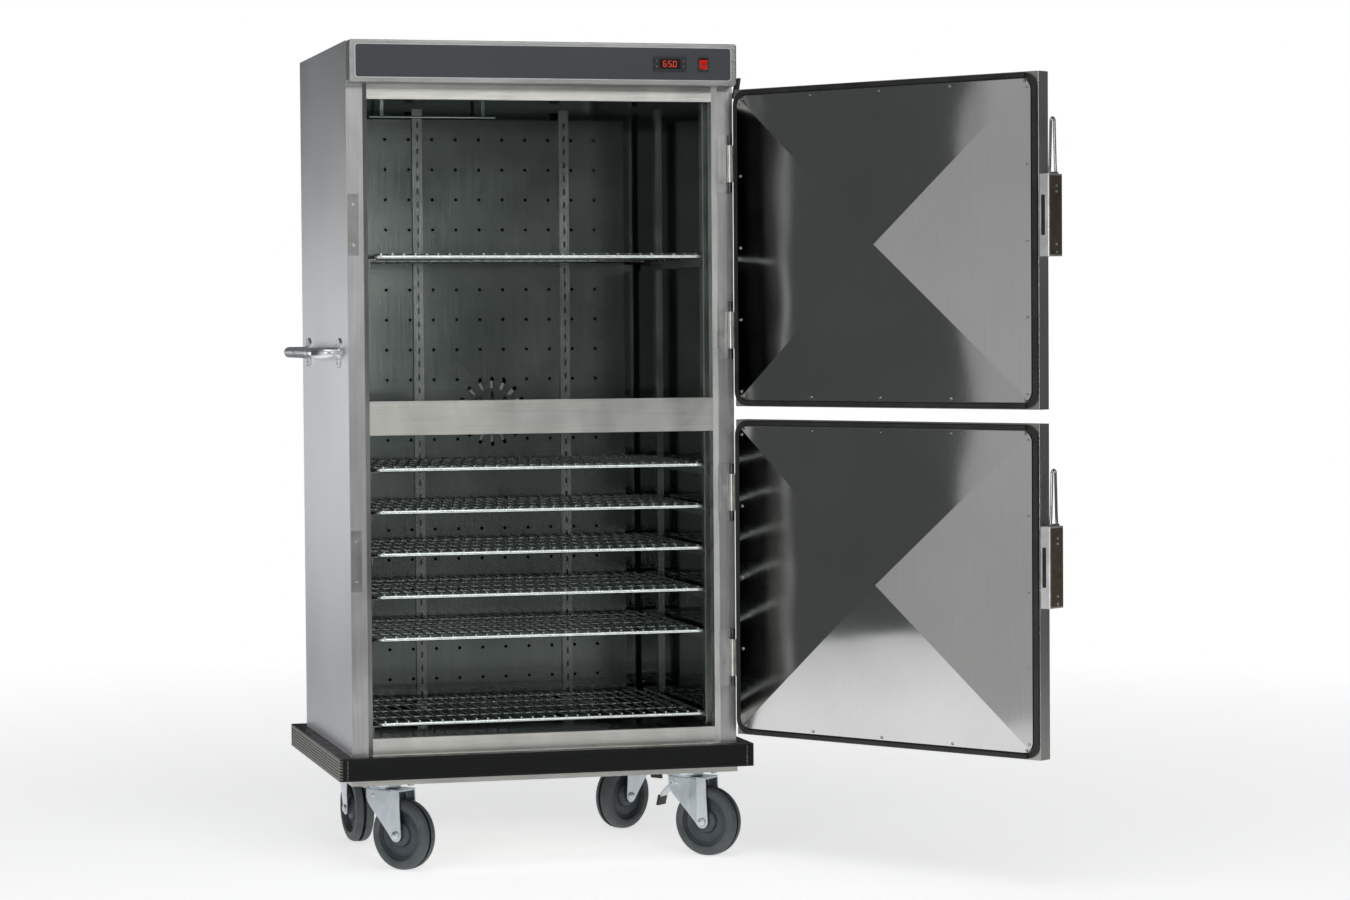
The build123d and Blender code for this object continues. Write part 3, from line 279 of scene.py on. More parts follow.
def lamp_material(name, colour, strength):
    """Lit display segment or lamp, a little uneven."""
    material, tree, shader = blank(name, Emission_Strength=strength)
    glow = noise(tree, (500.0, 500.0, 500.0), 2.0)
    dim = tuple(0.7 * channel for channel in colour)
    tree.links.new(tint(tree, glow, dim, colour), shader.inputs["Base Color"])
    tree.links.new(tint(tree, glow, dim, colour), shader.inputs["Emission Color"])
    return material


RIB_START, RIB_PITCH = 220.4 * MM, 6.6 * MM  # lowest rib of the bumper and the step from rib to rib
OPENING_HALF_W = 397.0 * MM  # the cross rails end here, against the stiles
KNUCKLE_BACK_Y = -336.0 * MM  # hinge knuckles stand in front of this, their leaves behind it
FRONT_ROD_Y = -293.0 * MM  # behind this the shelf's wires begin


def bumper_painted_rib_highlight():
    """Extruded black bumper, with a painted grey-brown highlight on the rib crests of its left side, patchy
    with noise.
    """
    material, tree, shader = blank("bumper_scuffed", Specular_IOR_Level=0.22)
    geometry = tree.nodes.new("ShaderNodeNewGeometry")
    split = tree.nodes.new("ShaderNodeSeparateXYZ")
    tree.links.new(geometry.outputs["True Normal"], split.inputs["Vector"])
    sideways = math_node(tree, "MAXIMUM", math_node(tree, "MULTIPLY", split.outputs["X"], -1.0), 0.0)
    above = math_node(tree, "SUBTRACT", axis_of(tree, "Z"), RIB_START)
    row = math_node(tree, "FRACT", math_node(tree, "DIVIDE", above, RIB_PITCH), 0.0)
    off_middle = math_node(tree, "ABSOLUTE", math_node(tree, "SUBTRACT", row, 0.5), 0.0)
    crest = spread(tree, off_middle, 0.18, 1.0, 0.12, 0.3)
    scuff_and_sheen_noise = noise(tree, (30.0, 30.0, 300.0), 5.0, 0.0, 0.5)
    # painted highlight: faces that point left are lightened to grey-brown on the rib crests
    ribs = math_node(tree, "MULTIPLY", sideways, crest)
    painted_crest_highlight = math_node(tree, "MULTIPLY", ribs, spread(tree, scuff_and_sheen_noise, 0.55, 1.0))
    colour = tint(tree, painted_crest_highlight, (0.0045, 0.0055, 0.005), (0.30, 0.285, 0.25), 0.05, 1.0)
    tree.links.new(colour, shader.inputs["Base Color"])
    tree.links.new(spread(tree, scuff_and_sheen_noise, 0.34, 0.52), shader.inputs["Roughness"])
    raise_surface(tree, shader, noise(tree, (500.0,) * 3, 2.0), 0.25, 0.0003)
    return material


def frame_material():
    """Brushed frame: grain up the stiles and along the rails, with the mottle of handled stainless. The rails
    are painted lighter than the stiles, a painted sheen.
    """
    material, tree, shader = blank("frame_sheet", Metallic=1.0)
    across = math_node(tree, "ABSOLUTE", axis_of(tree, "X"), 0.0)
    on_rail = spread(tree, across, 1.0, 0.0, OPENING_HALF_W - 0.1 * MM, OPENING_HALF_W + 0.1 * MM)
    lines = between(tree, on_rail, noise(tree, UPRIGHT_GRAIN, 3.0), noise(tree, LEVEL_GRAIN, 3.0))
    clouds = noise(tree, (11.0, 11.0, 7.0), 6.0, 0.0, 0.5)
    tone = mix_of(tree, 0.45, lines, clouds)
    # painted sheen: the rails take lighter colours than the stiles
    mixer = tree.nodes.new("ShaderNodeMix")
    mixer.data_type = "RGBA"
    tree.links.new(on_rail, mixer.inputs["Factor"])
    tree.links.new(tint(tree, tone, (0.38, 0.38, 0.375), (0.66, 0.66, 0.65)), mixer.inputs[6])
    tree.links.new(tint(tree, tone, (0.58, 0.57, 0.53), (0.84, 0.83, 0.78)), mixer.inputs[7])
    tree.links.new(mixer.outputs[2], shader.inputs["Base Color"])
    tree.links.new(spread(tree, tone, 0.26, 0.40), shader.inputs["Roughness"])
    raise_surface(tree, shader, lines, 0.4, 0.0004)
    raise_surface(tree, shader, clouds, 0.12, 0.0015)
    return material


def hinge_material():
    """Leaf let into the stile and brushed with it; the fixed knuckles in front of it are near-black, mottled
    with noise.
    """
    material, tree, shader = blank("hinge_fixed", Metallic=1.0)
    depth = axis_of(tree, "Y")
    proud = spread(tree, depth, 1.0, 0.0, KNUCKLE_BACK_Y - 0.5 * MM, KNUCKLE_BACK_Y + 0.5 * MM)
    lines = noise(tree, UPRIGHT_GRAIN, 3.0)
    hinge_mottle = noise(tree, (45.0, 45.0, 30.0), 5.0)
    tone = between(tree, proud, spread(tree, lines, 0.46, 0.70), spread(tree, hinge_mottle, 0.03, 0.16))
    colour = tint(tree, tone, (0.0, 0.0, 0.0), (1.0, 1.0, 0.99), 0.0, 1.0)
    tree.links.new(colour, shader.inputs["Base Color"])
    tree.links.new(spread(tree, hinge_mottle, 0.26, 0.40), shader.inputs["Roughness"])
    raise_surface(tree, shader, lines, 0.3, 0.0004)
    return material


def shelf_material():
    """Plated wire, painted bright along the front rod as a painted highlight and painted dark towards the
    back of the shelf as painted shade of the dark inside.
    """
    material, tree, shader = blank("shelf_wire", Metallic=1.0)
    back = spread(tree, axis_of(tree, "Y"), 0.0, 1.0, FRONT_ROD_Y - 5 * MM, FRONT_ROD_Y + 5 * MM)
    film = noise(tree, (60.0, 60.0, 60.0), 5.0)
    # painted light and shade: bright front rod, dark wires behind it
    level = between(tree, back, 0.84, 0.20)
    tone = math_node(tree, "MULTIPLY", level, spread(tree, film, 0.80, 1.12))
    colour = tint(tree, tone, (0.03, 0.036, 0.035), (0.93, 1.0, 0.99), 0.0, 1.0)
    tree.links.new(colour, shader.inputs["Base Color"])
    tree.links.new(spread(tree, film, 0.14, 0.30), shader.inputs["Roughness"])
    raise_surface(tree, shader, film, 0.15, 0.0005)
    return material


MATERIALS = {
    "frame_sheet": frame_material(),
    "shelf_wire": shelf_material(),
    "hinge_fixed": hinge_material(),
    "rocker": rocker_material(),
    "bumper": bumper_painted_rib_highlight(),
    "red_segments": lamp_material("red_segments", (1.0, 0.05, 0.02), 0.9),
}
for maker, table in ((metal, METALS), (plastic, PLASTICS)):
    for finish, (*values, options) in table.items():
        MATERIALS[finish] = maker(finish, *values, **options)

FINISHES = {
    "outer_panels": "side_sheet",
    "front_frame": "frame_sheet",
    "cabinet_liner": "liner_sheet",
    "air_duct_panel": "duct_sheet",
    "shelf_supports": "support_sheet",
    "wall_insulation": "foam",
    "fascia_housing": "fascia_sheet",
    "fascia_overlay": "overlay",
    "control_bezels": "bezel",
    "power_inlet": "bezel",
    "cable_hook": "hook_plastic",
    "rocker_switch": "rocker",
    "fan_heater_unit": "fan_metal",
    "fan_impeller": "fan_metal",
    "sensor_probe": "bright_wire",
    "push_handle": "handle_tube",
    "strike_plates": "strike_plate",
    "hinge_frame_halves": "hinge_fixed",
    "base_chassis": "chassis_sheet",
    "bumper": "bumper",
    "caster_plates": "zinc",
    "cabinet_screws": "screw_metal",
}
FINISHES.update({key: "bezel" for key in ("set_key", "up_key", "defrost_key", "down_key")})
FINISHES.update({f"wire_shelf_{number}": "shelf_wire" for number in range(1, 9)})
FINISHES.update({f"{caster}_caster_fork": "zinc" for caster in CASTERS})
FINISHES.update({f"{caster}_wheel": "tyre" for caster in CASTERS})
FINISHES.update({f"{caster}_brake_pedal": "pedal_pad" for caster in ("front_right", "rear_right")})
for door in DOORS:
    FINISHES.update(
        {
            f"{door}_door_skin": "door_sheet",
            f"{door}_door_insulation": "foam",
            f"{door}_door_liner": "door_mirror",
            f"{door}_door_screws": "screw_metal",
            f"{door}_door_gasket": "gasket",
            f"{door}_hinge_leaves": "hinge_plate",
            f"{door}_latch_body": "latch_plate",
            f"{door}_latch_lever": "loop_chrome",
        }
    )
for node_name, node in NODES.items():
    node.data.materials.clear()
    node.data.materials.append(MATERIALS[FINISHES[node_name]])

# ---------------------------------------------------------------- mesh helpers


def piece(name, mesh, material, body, smooth_angle=35.0):
    """A finished mesh as an object that rides on a body."""
    made = bpy.data.objects.new(name, mesh)
    bpy.context.scene.collection.objects.link(made)
    mesh.materials.append(MATERIALS[material])
    mesh.shade_smooth()
    mesh.set_sharp_from_angle(angle=math.radians(smooth_angle))
    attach(made, body)
    return made


def mesh_of(name, builder):
    """A mesh filled by a function that is given an empty bmesh."""
    mesh = bpy.data.meshes.new(name)
    work = bmesh.new()
    builder(work)
    bmesh.ops.recalc_face_normals(work, faces=work.faces)
    work.to_mesh(mesh)
    work.free()
    return mesh


def slab(work, outline, place_point, low, high):
    """A closed prism of a 2-D outline between two depths; place_point turns (x, y, depth) into a point."""
    bottom = [work.verts.new(place_point(x, y, low)) for x, y in outline]
    top = [work.verts.new(place_point(x, y, high)) for x, y in outline]
    work.faces.new(bottom)
    work.faces.new(top)
    count = len(outline)
    for index in range(count):
        follow = (index + 1) % count
        work.faces.new((bottom[index], bottom[follow], top[follow], top[index]))


def circle(radius, steps):
    """Points of a circle about the origin."""
    angles = [math.tau * k / steps for k in range(steps)]
    return [(radius * math.cos(angle), radius * math.sin(angle)) for angle in angles]


def join_rings(work, rings):
    """Faces between each closed ring of vertices and the next."""
    for one, two in zip(rings, rings[1:]):
        for index in range(len(one)):
            follow = (index + 1) % len(one)
            work.faces.new((one[index], one[follow], two[follow], two[index]))


def on_front(x0, z0, y0):
    """Turns (x, z, depth) about a point of an upright front face into a point; depth grows forwards."""
    return lambda x, z, depth: Vector((x0 + x, y0 - depth, z0 + z))


# ---------------------------------------------------------------- fascia details

overlay_low, overlay_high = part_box("fascia_overlay")
bezel_low, bezel_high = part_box("control_bezels")
DISPLAY_FRONT = bezel_low.y + 1.2 * MM
SET_KEY, UP_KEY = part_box("set_key"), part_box("up_key")
DISPLAY_X = (SET_KEY[0].x + UP_KEY[1].x) / 2
CONTROL_Z = (bezel_low.z + bezel_high.z) / 2


def rounded(half_w, half_h, radius, steps=6):
    """Outline of a rounded rectangle about the origin."""
    flat_w, flat_h = half_w - radius, half_h - radius
    points = []
    for quadrant, (sx, sy) in enumerate(((1, 1), (-1, 1), (-1, -1), (1, -1))):
        for step in range(steps + 1):
            angle = math.radians(90 * quadrant + 90 * step / steps)
            points.append((sx * flat_w + radius * math.cos(angle), sy * flat_h + radius * math.sin(angle)))
    return points


def border_line(work):
    """Thin printed line that runs round the overlay, just inside its edge."""
    centre = (overlay_low + overlay_high) / 2
    half_w, half_h = (overlay_high.x - overlay_low.x) / 2, (overlay_high.z - overlay_low.z) / 2
    put = on_front(centre.x, centre.z, overlay_low.y)
    rings = []
    for inset, height in ((0.2 * MM, 0.08 * MM), (2.6 * MM, 0.08 * MM), (2.6 * MM, 0.0), (0.2 * MM, 0.0)):
        outline = rounded(half_w - inset, half_h - inset, 8 * MM - inset)
        rings.append([work.verts.new(put(x, z, height)) for x, z in outline])
    join_rings(work, rings + rings[:1])


piece("overlay_border", mesh_of("overlay_border", border_line), "border_ink", "cabinet")


def display_window(work):
    """Tinted window in front of the controller's digits."""
    put = on_front(DISPLAY_X, CONTROL_Z, DISPLAY_FRONT)
    slab(work, rounded(24.6 * MM, 11.6 * MM, 1.5 * MM), put, 0.02 * MM, 0.4 * MM)


piece("display_window", mesh_of("display_window", display_window), "window_tint", "cabinet")

SEGMENTS = {  # the seven bars of a digit: centre in half heights of the digit, and whether it lies flat
    "a": (0, 1, True), "b": (0.5, 0.5, False), "c": (0.5, -0.5, False), "d": (0, -1, True),
    "e": (-0.5, -0.5, False), "f": (-0.5, 0.5, False), "g": (0, 0, True),
}
DIGITS = {"6": "acdefg", "5": "acdfg", "0": "abcdef"}


def reading(work):
    """Three seven-segment digits and a decimal point: a plain temperature."""
    half, width = 6.2 * MM, 1.1 * MM
    put = on_front(DISPLAY_X, CONTROL_Z, DISPLAY_FRONT - 0.4 * MM)
    for place_index, digit in enumerate("650"):
        shift = (place_index - 1) * 11.5 * MM
        for letter in DIGITS[digit]:
            sx, sz, flat = SEGMENTS[letter]
            cx, cz = shift + sx * half * 1.1, sz * half
            length = half * (0.46 if flat else 0.43)
            bar = [(-length, 0), (-length + width / 2, width / 2), (length - width / 2, width / 2)]
            bar += [(length, 0), (length - width / 2, -width / 2), (-length + width / 2, -width / 2)]
            outline = [(cx + a, cz + b) if flat else (cx + b, cz + a) for a, b in bar]
            slab(work, outline, put, 0.0, 0.12 * MM)
    dot = [(5.8 * MM + x, z - half) for x, z in circle(0.7 * MM, 10)]
    slab(work, dot, put, 0.0, 0.12 * MM)


piece("display_digits", mesh_of("display_digits", reading), "red_segments", "cabinet")


def key_symbols(key_name, turned):
    """Small raised triangle on a key, pointing up or down."""
    low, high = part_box(key_name)
    size = 1.3 * MM
    foot = -size * turned * 0.6
    name = f"{key_name}_symbol"

    def fill(work):
        put = on_front((low.x + high.x) / 2, (low.z + high.z) / 2, low.y)
        slab(work, [(-size, foot), (size, foot), (0, size * turned)], put, 0, 0.1 * MM)

    piece(name, mesh_of(name, fill), "border_ink", f"{key_name}_body")


for key_name, turned in (("up_key", 1), ("down_key", -1), ("set_key", -1), ("defrost_key", 1)):
    key_symbols(key_name, turned)

# ---------------------------------------------------------------- casters


def lathe(work, profile, place_point, steps=72):
    """A closed ring: the (radius, across) points of a profile turned about an axis."""
    rings = [
        [work.verts.new(place_point(r * x, r * y, t)) for r, t in profile] for x, y in circle(1.0, steps)
    ]
    join_rings(work, rings + rings[:1])


def knob(work, profile, place_point, steps=24):
    """A solid turned from a profile of (radius, across) points, with flat ends."""
    rings = [[work.verts.new(place_point(x, y, t)) for x, y in circle(r, steps)] for r, t in profile]
    work.faces.new(rings[0])
    work.faces.new(rings[-1])
    join_rings(work, rings)


def bevelled(made, width, segments=2, angle=32.0):
    """Rounds the edges of a piece."""
    bevel = made.modifiers.new("rounded_edges", "BEVEL")
    bevel.width = width
    bevel.segments = segments
    bevel.limit_method = "ANGLE"
    bevel.angle_limit = math.radians(angle)
    bevel.harden_normals = True


def caster_axes(caster):
    """A caster's trail, the height of its axle, and a function that turns its own places into points.

    A place is (way from the swivel axis towards the wheel, height, way along the axle).
    """
    swivel = Vector(JOINTS[f"{caster}_swivel_turn"]["pos_m"])
    roll = Vector(JOINTS[f"{caster}_wheel_roll"]["pos_m"])
    foot = Vector((swivel.x, swivel.y, 0.0))
    trail = Vector((roll.x, roll.y, 0.0)) - foot
    along = trail.normalized()
    across = Vector((0.0, 0.0, 1.0)).cross(along)
    return trail.length, roll.z, lambda s, z, t: foot + along * s + across * t + Vector((0, 0, z))


LEG_OUT, LEG_SHEET = 29.5 * MM, 3.6 * MM
CROWN_LOW, CROWN_TOP = 178.0 * MM, 183.0 * MM
FOLD, NARROWING = 41.0 * MM, 0.16
NOSE, LEG_END = -42 * MM, 64 * MM  # ends of the crown, from the swivel axis
EYE_R = 15.0 * MM
WEB = [  # outline of a fork leg's web, from the swivel axis and up, in millimetres
    (-42, 183), (-42, 160), (-38, 150), (-30, 140), (-16, 127), (4, 109), (26, 88), (38, 76), (41, 71.5),
    (41, 183),
]
AXLE_HEAD = [(9.6, 0), (9.6, 3.4), (8.6, 5.0), (5.0, 6.0), (0.6, 6.2)]
RIVET = [(4.2, -1.0), (4.2, 0.6), (3.2, 1.7), (0.5, 2.2)]
BEARING_RING = [(8.05, 183), (34, 183), (36, 184), (36, 185.4), (34.5, 186.7), (8.05, 186.7)]
RIVET_PLACE = (-18 * MM, 166 * MM)


def metres(points):
    """Points in millimetres turned into metres."""
    return [(x * MM, y * MM) for x, y in points]


def leg_out(s):
    """Half width of the fork at a distance s from the swivel: it closes in ahead of the wheel."""
    return LEG_OUT - max(FOLD - s, 0.0) * NARROWING


def fork_mesh(work, axes):
    """Pressed fork: crown, two folded legs, a web ahead of the wheel, bearing ring, axle heads and rivets."""
    trail, hub_z, put = axes
    web = metres(WEB)
    eye = [
        (trail + EYE_R * math.cos(angle), hub_z + EYE_R * math.sin(angle))
        for angle in (math.radians(213 + 16.3 * k) for k in range(10))
    ]
    strip = [(FOLD, CROWN_TOP), (FOLD, 74 * MM), *eye, (LEG_END, CROWN_TOP)]
    for side in (-1, 1):

        def on_web(s, z, depth, side=side):
            return put(s, z, side * (leg_out(s) - depth))

        def on_strip(s, z, depth, side=side):
            return put(s, z, side * (LEG_OUT + 0.5 * MM - depth))

        def on_axle(x, z, out, side=side):
            return put(trail + x, hub_z + z, side * (LEG_OUT + out))

        def on_rivet(x, z, out, side=side):
            return put(RIVET_PLACE[0] + x, RIVET_PLACE[1] + z, side * (leg_out(RIVET_PLACE[0]) + out))

        slab(work, web, on_web, 0.0, LEG_SHEET)
        slab(work, strip, on_strip, 0.0, LEG_SHEET)
        knob(work, metres(AXLE_HEAD), on_axle)
        knob(work, metres(RIVET), on_rivet, 16)
    nose = leg_out(NOSE)
    crown = [(NOSE, -nose), (FOLD, -LEG_OUT), (LEG_END, -LEG_OUT)]
    crown += [(s, -t) for s, t in reversed(crown)]
    slab(work, crown, lambda s, t, depth: put(s, CROWN_TOP - depth, t), 0.0, CROWN_TOP - CROWN_LOW)
    front = [(-nose, CROWN_TOP), (-nose, 159 * MM), (-nose * 0.5, 154 * MM)]
    front += [(-t, z) for t, z in reversed(front)]
    slab(work, front, lambda t, z, depth: put(NOSE + depth, z, t), 0.0, LEG_SHEET)
    lathe(work, metres(BEARING_RING), lambda x, y, z: put(x, z, y), 48)


WHEEL_PROFILE = [  # half section of the tyre, radius and distance from its middle, in millimetres
    (80.0, 0.0), (79.9, 7.0), (79.2, 12.0), (77.4, 16.4), (74.4, 19.6), (70.4, 21.4), (65.0, 22.2),
    (60.5, 22.0), (58.2, 21.0), (57.2, 19.2), (56.2, 13.6),
]
RIM_PROFILE = [  # half section of the rim and hub
    (56.1, 13.4), (54.0, 10.2), (50.5, 8.2), (46.0, 7.4), (31.0, 7.0), (28.6, 8.6), (27.2, 13.4),
    (25.6, 16.6), (22.6, 18.0), (17.0, 18.4), (15.2, 19.6), (14.4, 24.4), (6.05, 24.4),
]


def wheel_part(work, axes, half_profile, closing_radius):
    """Both halves of a wheel's profile turned about the axle."""
    trail, hub_z, put = axes
    half = metres(half_profile)
    loop = half + [(r, -t) for r, t in reversed(half) if t > 0]
    if closing_radius:
        loop += [(closing_radius * MM, -half[-1][1]), (closing_radius * MM, half[-1][1])]
    lathe(work, loop, lambda x, z, t: put(trail + x, hub_z + z, t), 96)


for caster in CASTERS:
    axes = caster_axes(caster)
    fork = piece(
        f"{caster}_pressed_fork",
        mesh_of("pressed_fork", lambda work: fork_mesh(work, axes)),
        "zinc", f"{caster}_swivel", 30.0,
    )
    bevelled(fork, 0.9 * MM)
    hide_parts(f"{caster}_caster_fork")
    tread = piece(
        f"{caster}_moulded_tyre",
        mesh_of("moulded_tyre", lambda work: wheel_part(work, axes, WHEEL_PROFILE, 52.0)),
        "tyre", f"{caster}_wheel_body", 45.0,
    )
    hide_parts(f"{caster}_wheel")
    piece(
        f"{caster}_wheel_rim",
        mesh_of("wheel_rim", lambda work: wheel_part(work, axes, RIM_PROFILE, 0.0)),
        "rim_plastic", f"{caster}_wheel_body", 40.0,
    )


PEDAL_PIVOT = (-33 * MM, 166 * MM)
PEDAL_SLEEVE = [(3.05, -20), (7, -20), (7, 20), (3.05, 20)]
PEDAL_ARM = [(-31, 161), (-39, 164), (-62, 140), (-68, 131), (-64.5, 129), (-58, 137)]
PEDAL_RIDGE = [(0.5, -14), (2.1, -13.4), (2.1, 13.4), (0.5, 14)]


def pedal_arm(work, axes):
    """Zinc lever of a wheel brake, with grip ridges across it."""
    put = axes[2]
    lathe(work, metres(PEDAL_SLEEVE), lambda x, z, t: put(PEDAL_PIVOT[0] + x, PEDAL_PIVOT[1] + z, t), 32)
    slab(work, metres(PEDAL_ARM), put, -16 * MM, 16 * MM)
    for ridge in range(4):
        s, z = (-43 - 6.2 * ridge) * MM, (159.8 - 6.6 * ridge) * MM
        knob(work, metres(PEDAL_RIDGE), lambda x, y, t, s=s, z=z: put(s + x, z + y, t), 12)


def pedal_pad(work, axes):
    """Black tread of the brake pedal, with moulded grooves."""
    outline = [(-63, 133), (-69, 134.5)]
    for groove in range(5):
        s, z = -71.0 - 1.0 * groove, 131.0 - 4.2 * groove
        outline += [(s, z), (s - 0.2, z - 2.4), (s + 1.0, z - 3.0)]
    outline += [(-76, 110), (-69, 109), (-66, 122)]
    slab(work, metres(outline), axes[2], -17 * MM, 17 * MM)


for caster in ("front_right", "rear_right"):
    axes = caster_axes(caster)
    arm = piece(
        f"{caster}_pedal_arm",
        mesh_of("pedal_arm", lambda work: pedal_arm(work, axes)),
        "zinc", f"{caster}_pedal",
    )
    bevelled(arm, 0.6 * MM)
    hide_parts(f"{caster}_brake_pedal")
    pad = piece(
        f"{caster}_pedal_pad",
        mesh_of("pedal_pad", lambda work: pedal_pad(work, axes)),
        "pedal_pad", f"{caster}_pedal",
    )
    bevelled(pad, 0.4 * MM)

# ---------------------------------------------------------------- bumper studs and latch details

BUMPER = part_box("bumper")


def bumper_studs(work):
    """Small bright domes up the seams of the corner blocks, on the front and the back: painted highlights
    where the rib ends catch the light.
    """
    corner_block = 18 * MM
    head = metres([(1.15, 0.0), (1.1, 0.4), (0.8, 0.8), (0.2, 0.95)])
    for side_x in (BUMPER[0].x + corner_block, BUMPER[1].x - corner_block):
        for face_y, out in ((BUMPER[0].y, -1), (BUMPER[1].y, 1)):
            for row in range(11):
                z0 = BUMPER[0].z + (4.5 + 4.2 * row) * MM
                knob(work, head, lambda x, z, t: Vector((side_x + x, face_y + out * t, z0 + z)), 10)


piece("bumper_studs", mesh_of("bumper_studs", bumper_studs), "screw_metal", "cabinet")

DOOR_ALONG = Vector((math.cos(DOOR_TURN), math.sin(DOOR_TURN), 0.0))
DOOR_OUT = Vector((-math.sin(DOOR_TURN), math.cos(DOOR_TURN), 0.0))


def door_point(door):
    """Turns (along, out, up) from a door's hinge axis and bottom edge into the frame's axes."""
    hinge = Vector(JOINTS[f"{door}_door_hinge"]["pos_m"])
    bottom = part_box(f"{door}_door_skin")[0].z
    origin = Vector((hinge.x, hinge.y, bottom))
    return lambda q, y, z: origin + DOOR_ALONG * q + DOOR_OUT * y + Vector((0, 0, z))


LATCH_LOW_Q, LATCH_HIGH_Q, LATCH_MIDDLE = 853 * MM, 879 * MM, 414 * MM
LATCH_TOP = LATCH_MIDDLE + 87.5 * MM


def tube(work, path, radius, place_point, steps=14):
    """A round bar along path points, with closed ends; place_point turns (y, z, across) into a point."""
    rings = []
    for index, (y, z) in enumerate(path):
        before, after = path[max(index - 1, 0)], path[min(index + 1, len(path) - 1)]
        dy, dz = after[0] - before[0], after[1] - before[1]
        length = math.hypot(dy, dz)
        ny, nz = -dz / length, dy / length
        ring = [place_point(y + ny * side, z + nz * side, across) for side, across in circle(radius, steps)]
        rings.append([work.verts.new(point) for point in ring])
    work.faces.new(rings[0])
    work.faces.new(rings[-1])
    join_rings(work, rings)


LUG = [
    (-10, -9), (-6, -11), (6, -11), (10, -9), (15.4, 11), (15.8, 17), (13, 18.5), (-13, 18.5), (-15.4, 17),
    (-14.8, 11),
]


def lever_loop(work, put):
    """Bent chromed loop of the latch, with its lug down to the pivot."""
    middle_q = (LATCH_LOW_Q + LATCH_HIGH_Q) / 2

    def place_point(y, z, across):
        return put(middle_q + across, y, z)

    foot, top, bend_r = LATCH_TOP + 3 * MM, LATCH_TOP + 112.9 * MM, 6.5
    bend = [(bend_r * math.cos(a), bend_r * math.sin(a)) for a in (math.radians(15 * k) for k in range(13))]
    path = [(40.0 * MM, foot - 6 * MM), (37.5 * MM, foot + 16 * MM)]
    path += [((27.5 + y) * MM, top + z * MM) for y, z in bend]
    path += [(17.0 * MM, foot + 16 * MM), (14.5 * MM, foot - 6 * MM)]
    tube(work, path, 3.1 * MM, place_point)
    pivot_y, pivot_z = 27 * MM, LATCH_TOP - 14 * MM
    lug = [(pivot_y + y, pivot_z + z) for y, z in metres(LUG)]
    slab(work, lug, place_point, -4.6 * MM, 4.6 * MM)


def magnet_cover(work, put):
    """Dark strip let into the face of the latch body."""
    slot = rounded(4.6 * MM, 42.6 * MM, 2 * MM)
    outline = [(LATCH_LOW_Q + 11 * MM + x, LATCH_MIDDLE + z) for x, z in slot]
    slab(work, outline, lambda q, z, depth: put(q, depth, z), -5.9 * MM, -5.3 * MM)


def latch_side_plate(work, put):
    """Brown-toned sheet on the free side of the latch body, a painted reflection of brownish surroundings."""
    outline = [(19.3 * MM + y, LATCH_MIDDLE + z) for y, z in rounded(22.5 * MM, 84 * MM, 3 * MM)]
    slab(work, outline, lambda y, z, depth: put(LATCH_HIGH_Q + depth, y, z), 0.0, 0.5 * MM)


for door in DOORS:
    put = door_point(door)
    cover = mesh_of("magnet_cover", lambda work: magnet_cover(work, put))
    piece(f"{door}_latch_face_dark_strip", cover, "bezel", f"{door}_door")
    loop = mesh_of("lever_loop", lambda work: lever_loop(work, put))
    lever = piece(f"{door}_lever_loop", loop, "loop_chrome", f"{door}_lever", 40.0)
    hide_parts(f"{door}_latch_lever")
    side_plate = mesh_of("latch_side_plate", lambda work: latch_side_plate(work, put))
    piece(f"{door}_latch_side_plate", side_plate, "latch_side", f"{door}_door")

# ---------------------------------------------------------------- stage, light and camera


def area_light(name, spot, aim, size, power, colour=(1.0, 1.0, 1.0)):
    """A rectangular soft light at a spot that faces a point."""
    data = bpy.data.lights.new(name, "AREA")
    data.shape = "RECTANGLE"
    data.size, data.size_y = size
    data.energy = power
    data.color = colour
    made = bpy.data.objects.new(name, data)
    made.location = spot
    made.rotation_euler = (Vector(aim) - Vector(spot)).to_track_quat("-Z", "Y").to_euler()
    made.visible_camera = False
    bpy.context.scene.collection.objects.link(made)


def studio_floor():
    """Pale floor disc that fades out into the pale surroundings."""
    radius, fade_from, fade_to = 5.0, 1.2, 4.75
    rim = circle(radius, 96)
    mesh = mesh_of("studio_floor", lambda work: work.faces.new([work.verts.new((x, y, 0)) for x, y in rim]))
    made = bpy.data.objects.new("studio_floor", mesh)
    bpy.context.scene.collection.objects.link(made)
    material, tree, shader = blank(
        "floor_paint", Roughness=0.9, Specular_IOR_Level=0.1, Emission_Strength=0.62
    )
    shader.inputs["Emission Color"].default_value = (1.0, 1.0, 1.0, 1.0)
    specks = noise(tree, (3.0, 3.0, 3.0), 3.0)
    tree.links.new(tint(tree, specks, (0.86, 0.86, 0.86), (0.88, 0.88, 0.88)), shader.inputs["Base Color"])
    coords = tree.nodes.new("ShaderNodeTexCoord")
    length = tree.nodes.new("ShaderNodeVectorMath")
    length.operation = "LENGTH"
    tree.links.new(coords.outputs["Object"], length.inputs[0])
    clear = tree.nodes.new("ShaderNodeBsdfTransparent")
    mixer = tree.nodes.new("ShaderNodeMixShader")
    fade = spread(tree, length.outputs["Value"], 0.0, 1.0, fade_from, fade_to)
    tree.links.new(fade, mixer.inputs["Fac"])
    tree.links.new(shader.outputs["BSDF"], mixer.inputs[1])
    tree.links.new(clear.outputs["BSDF"], mixer.inputs[2])
    tree.links.new(mixer.outputs["Shader"], tree.nodes["Material Output"].inputs["Surface"])
    mesh.materials.append(material)


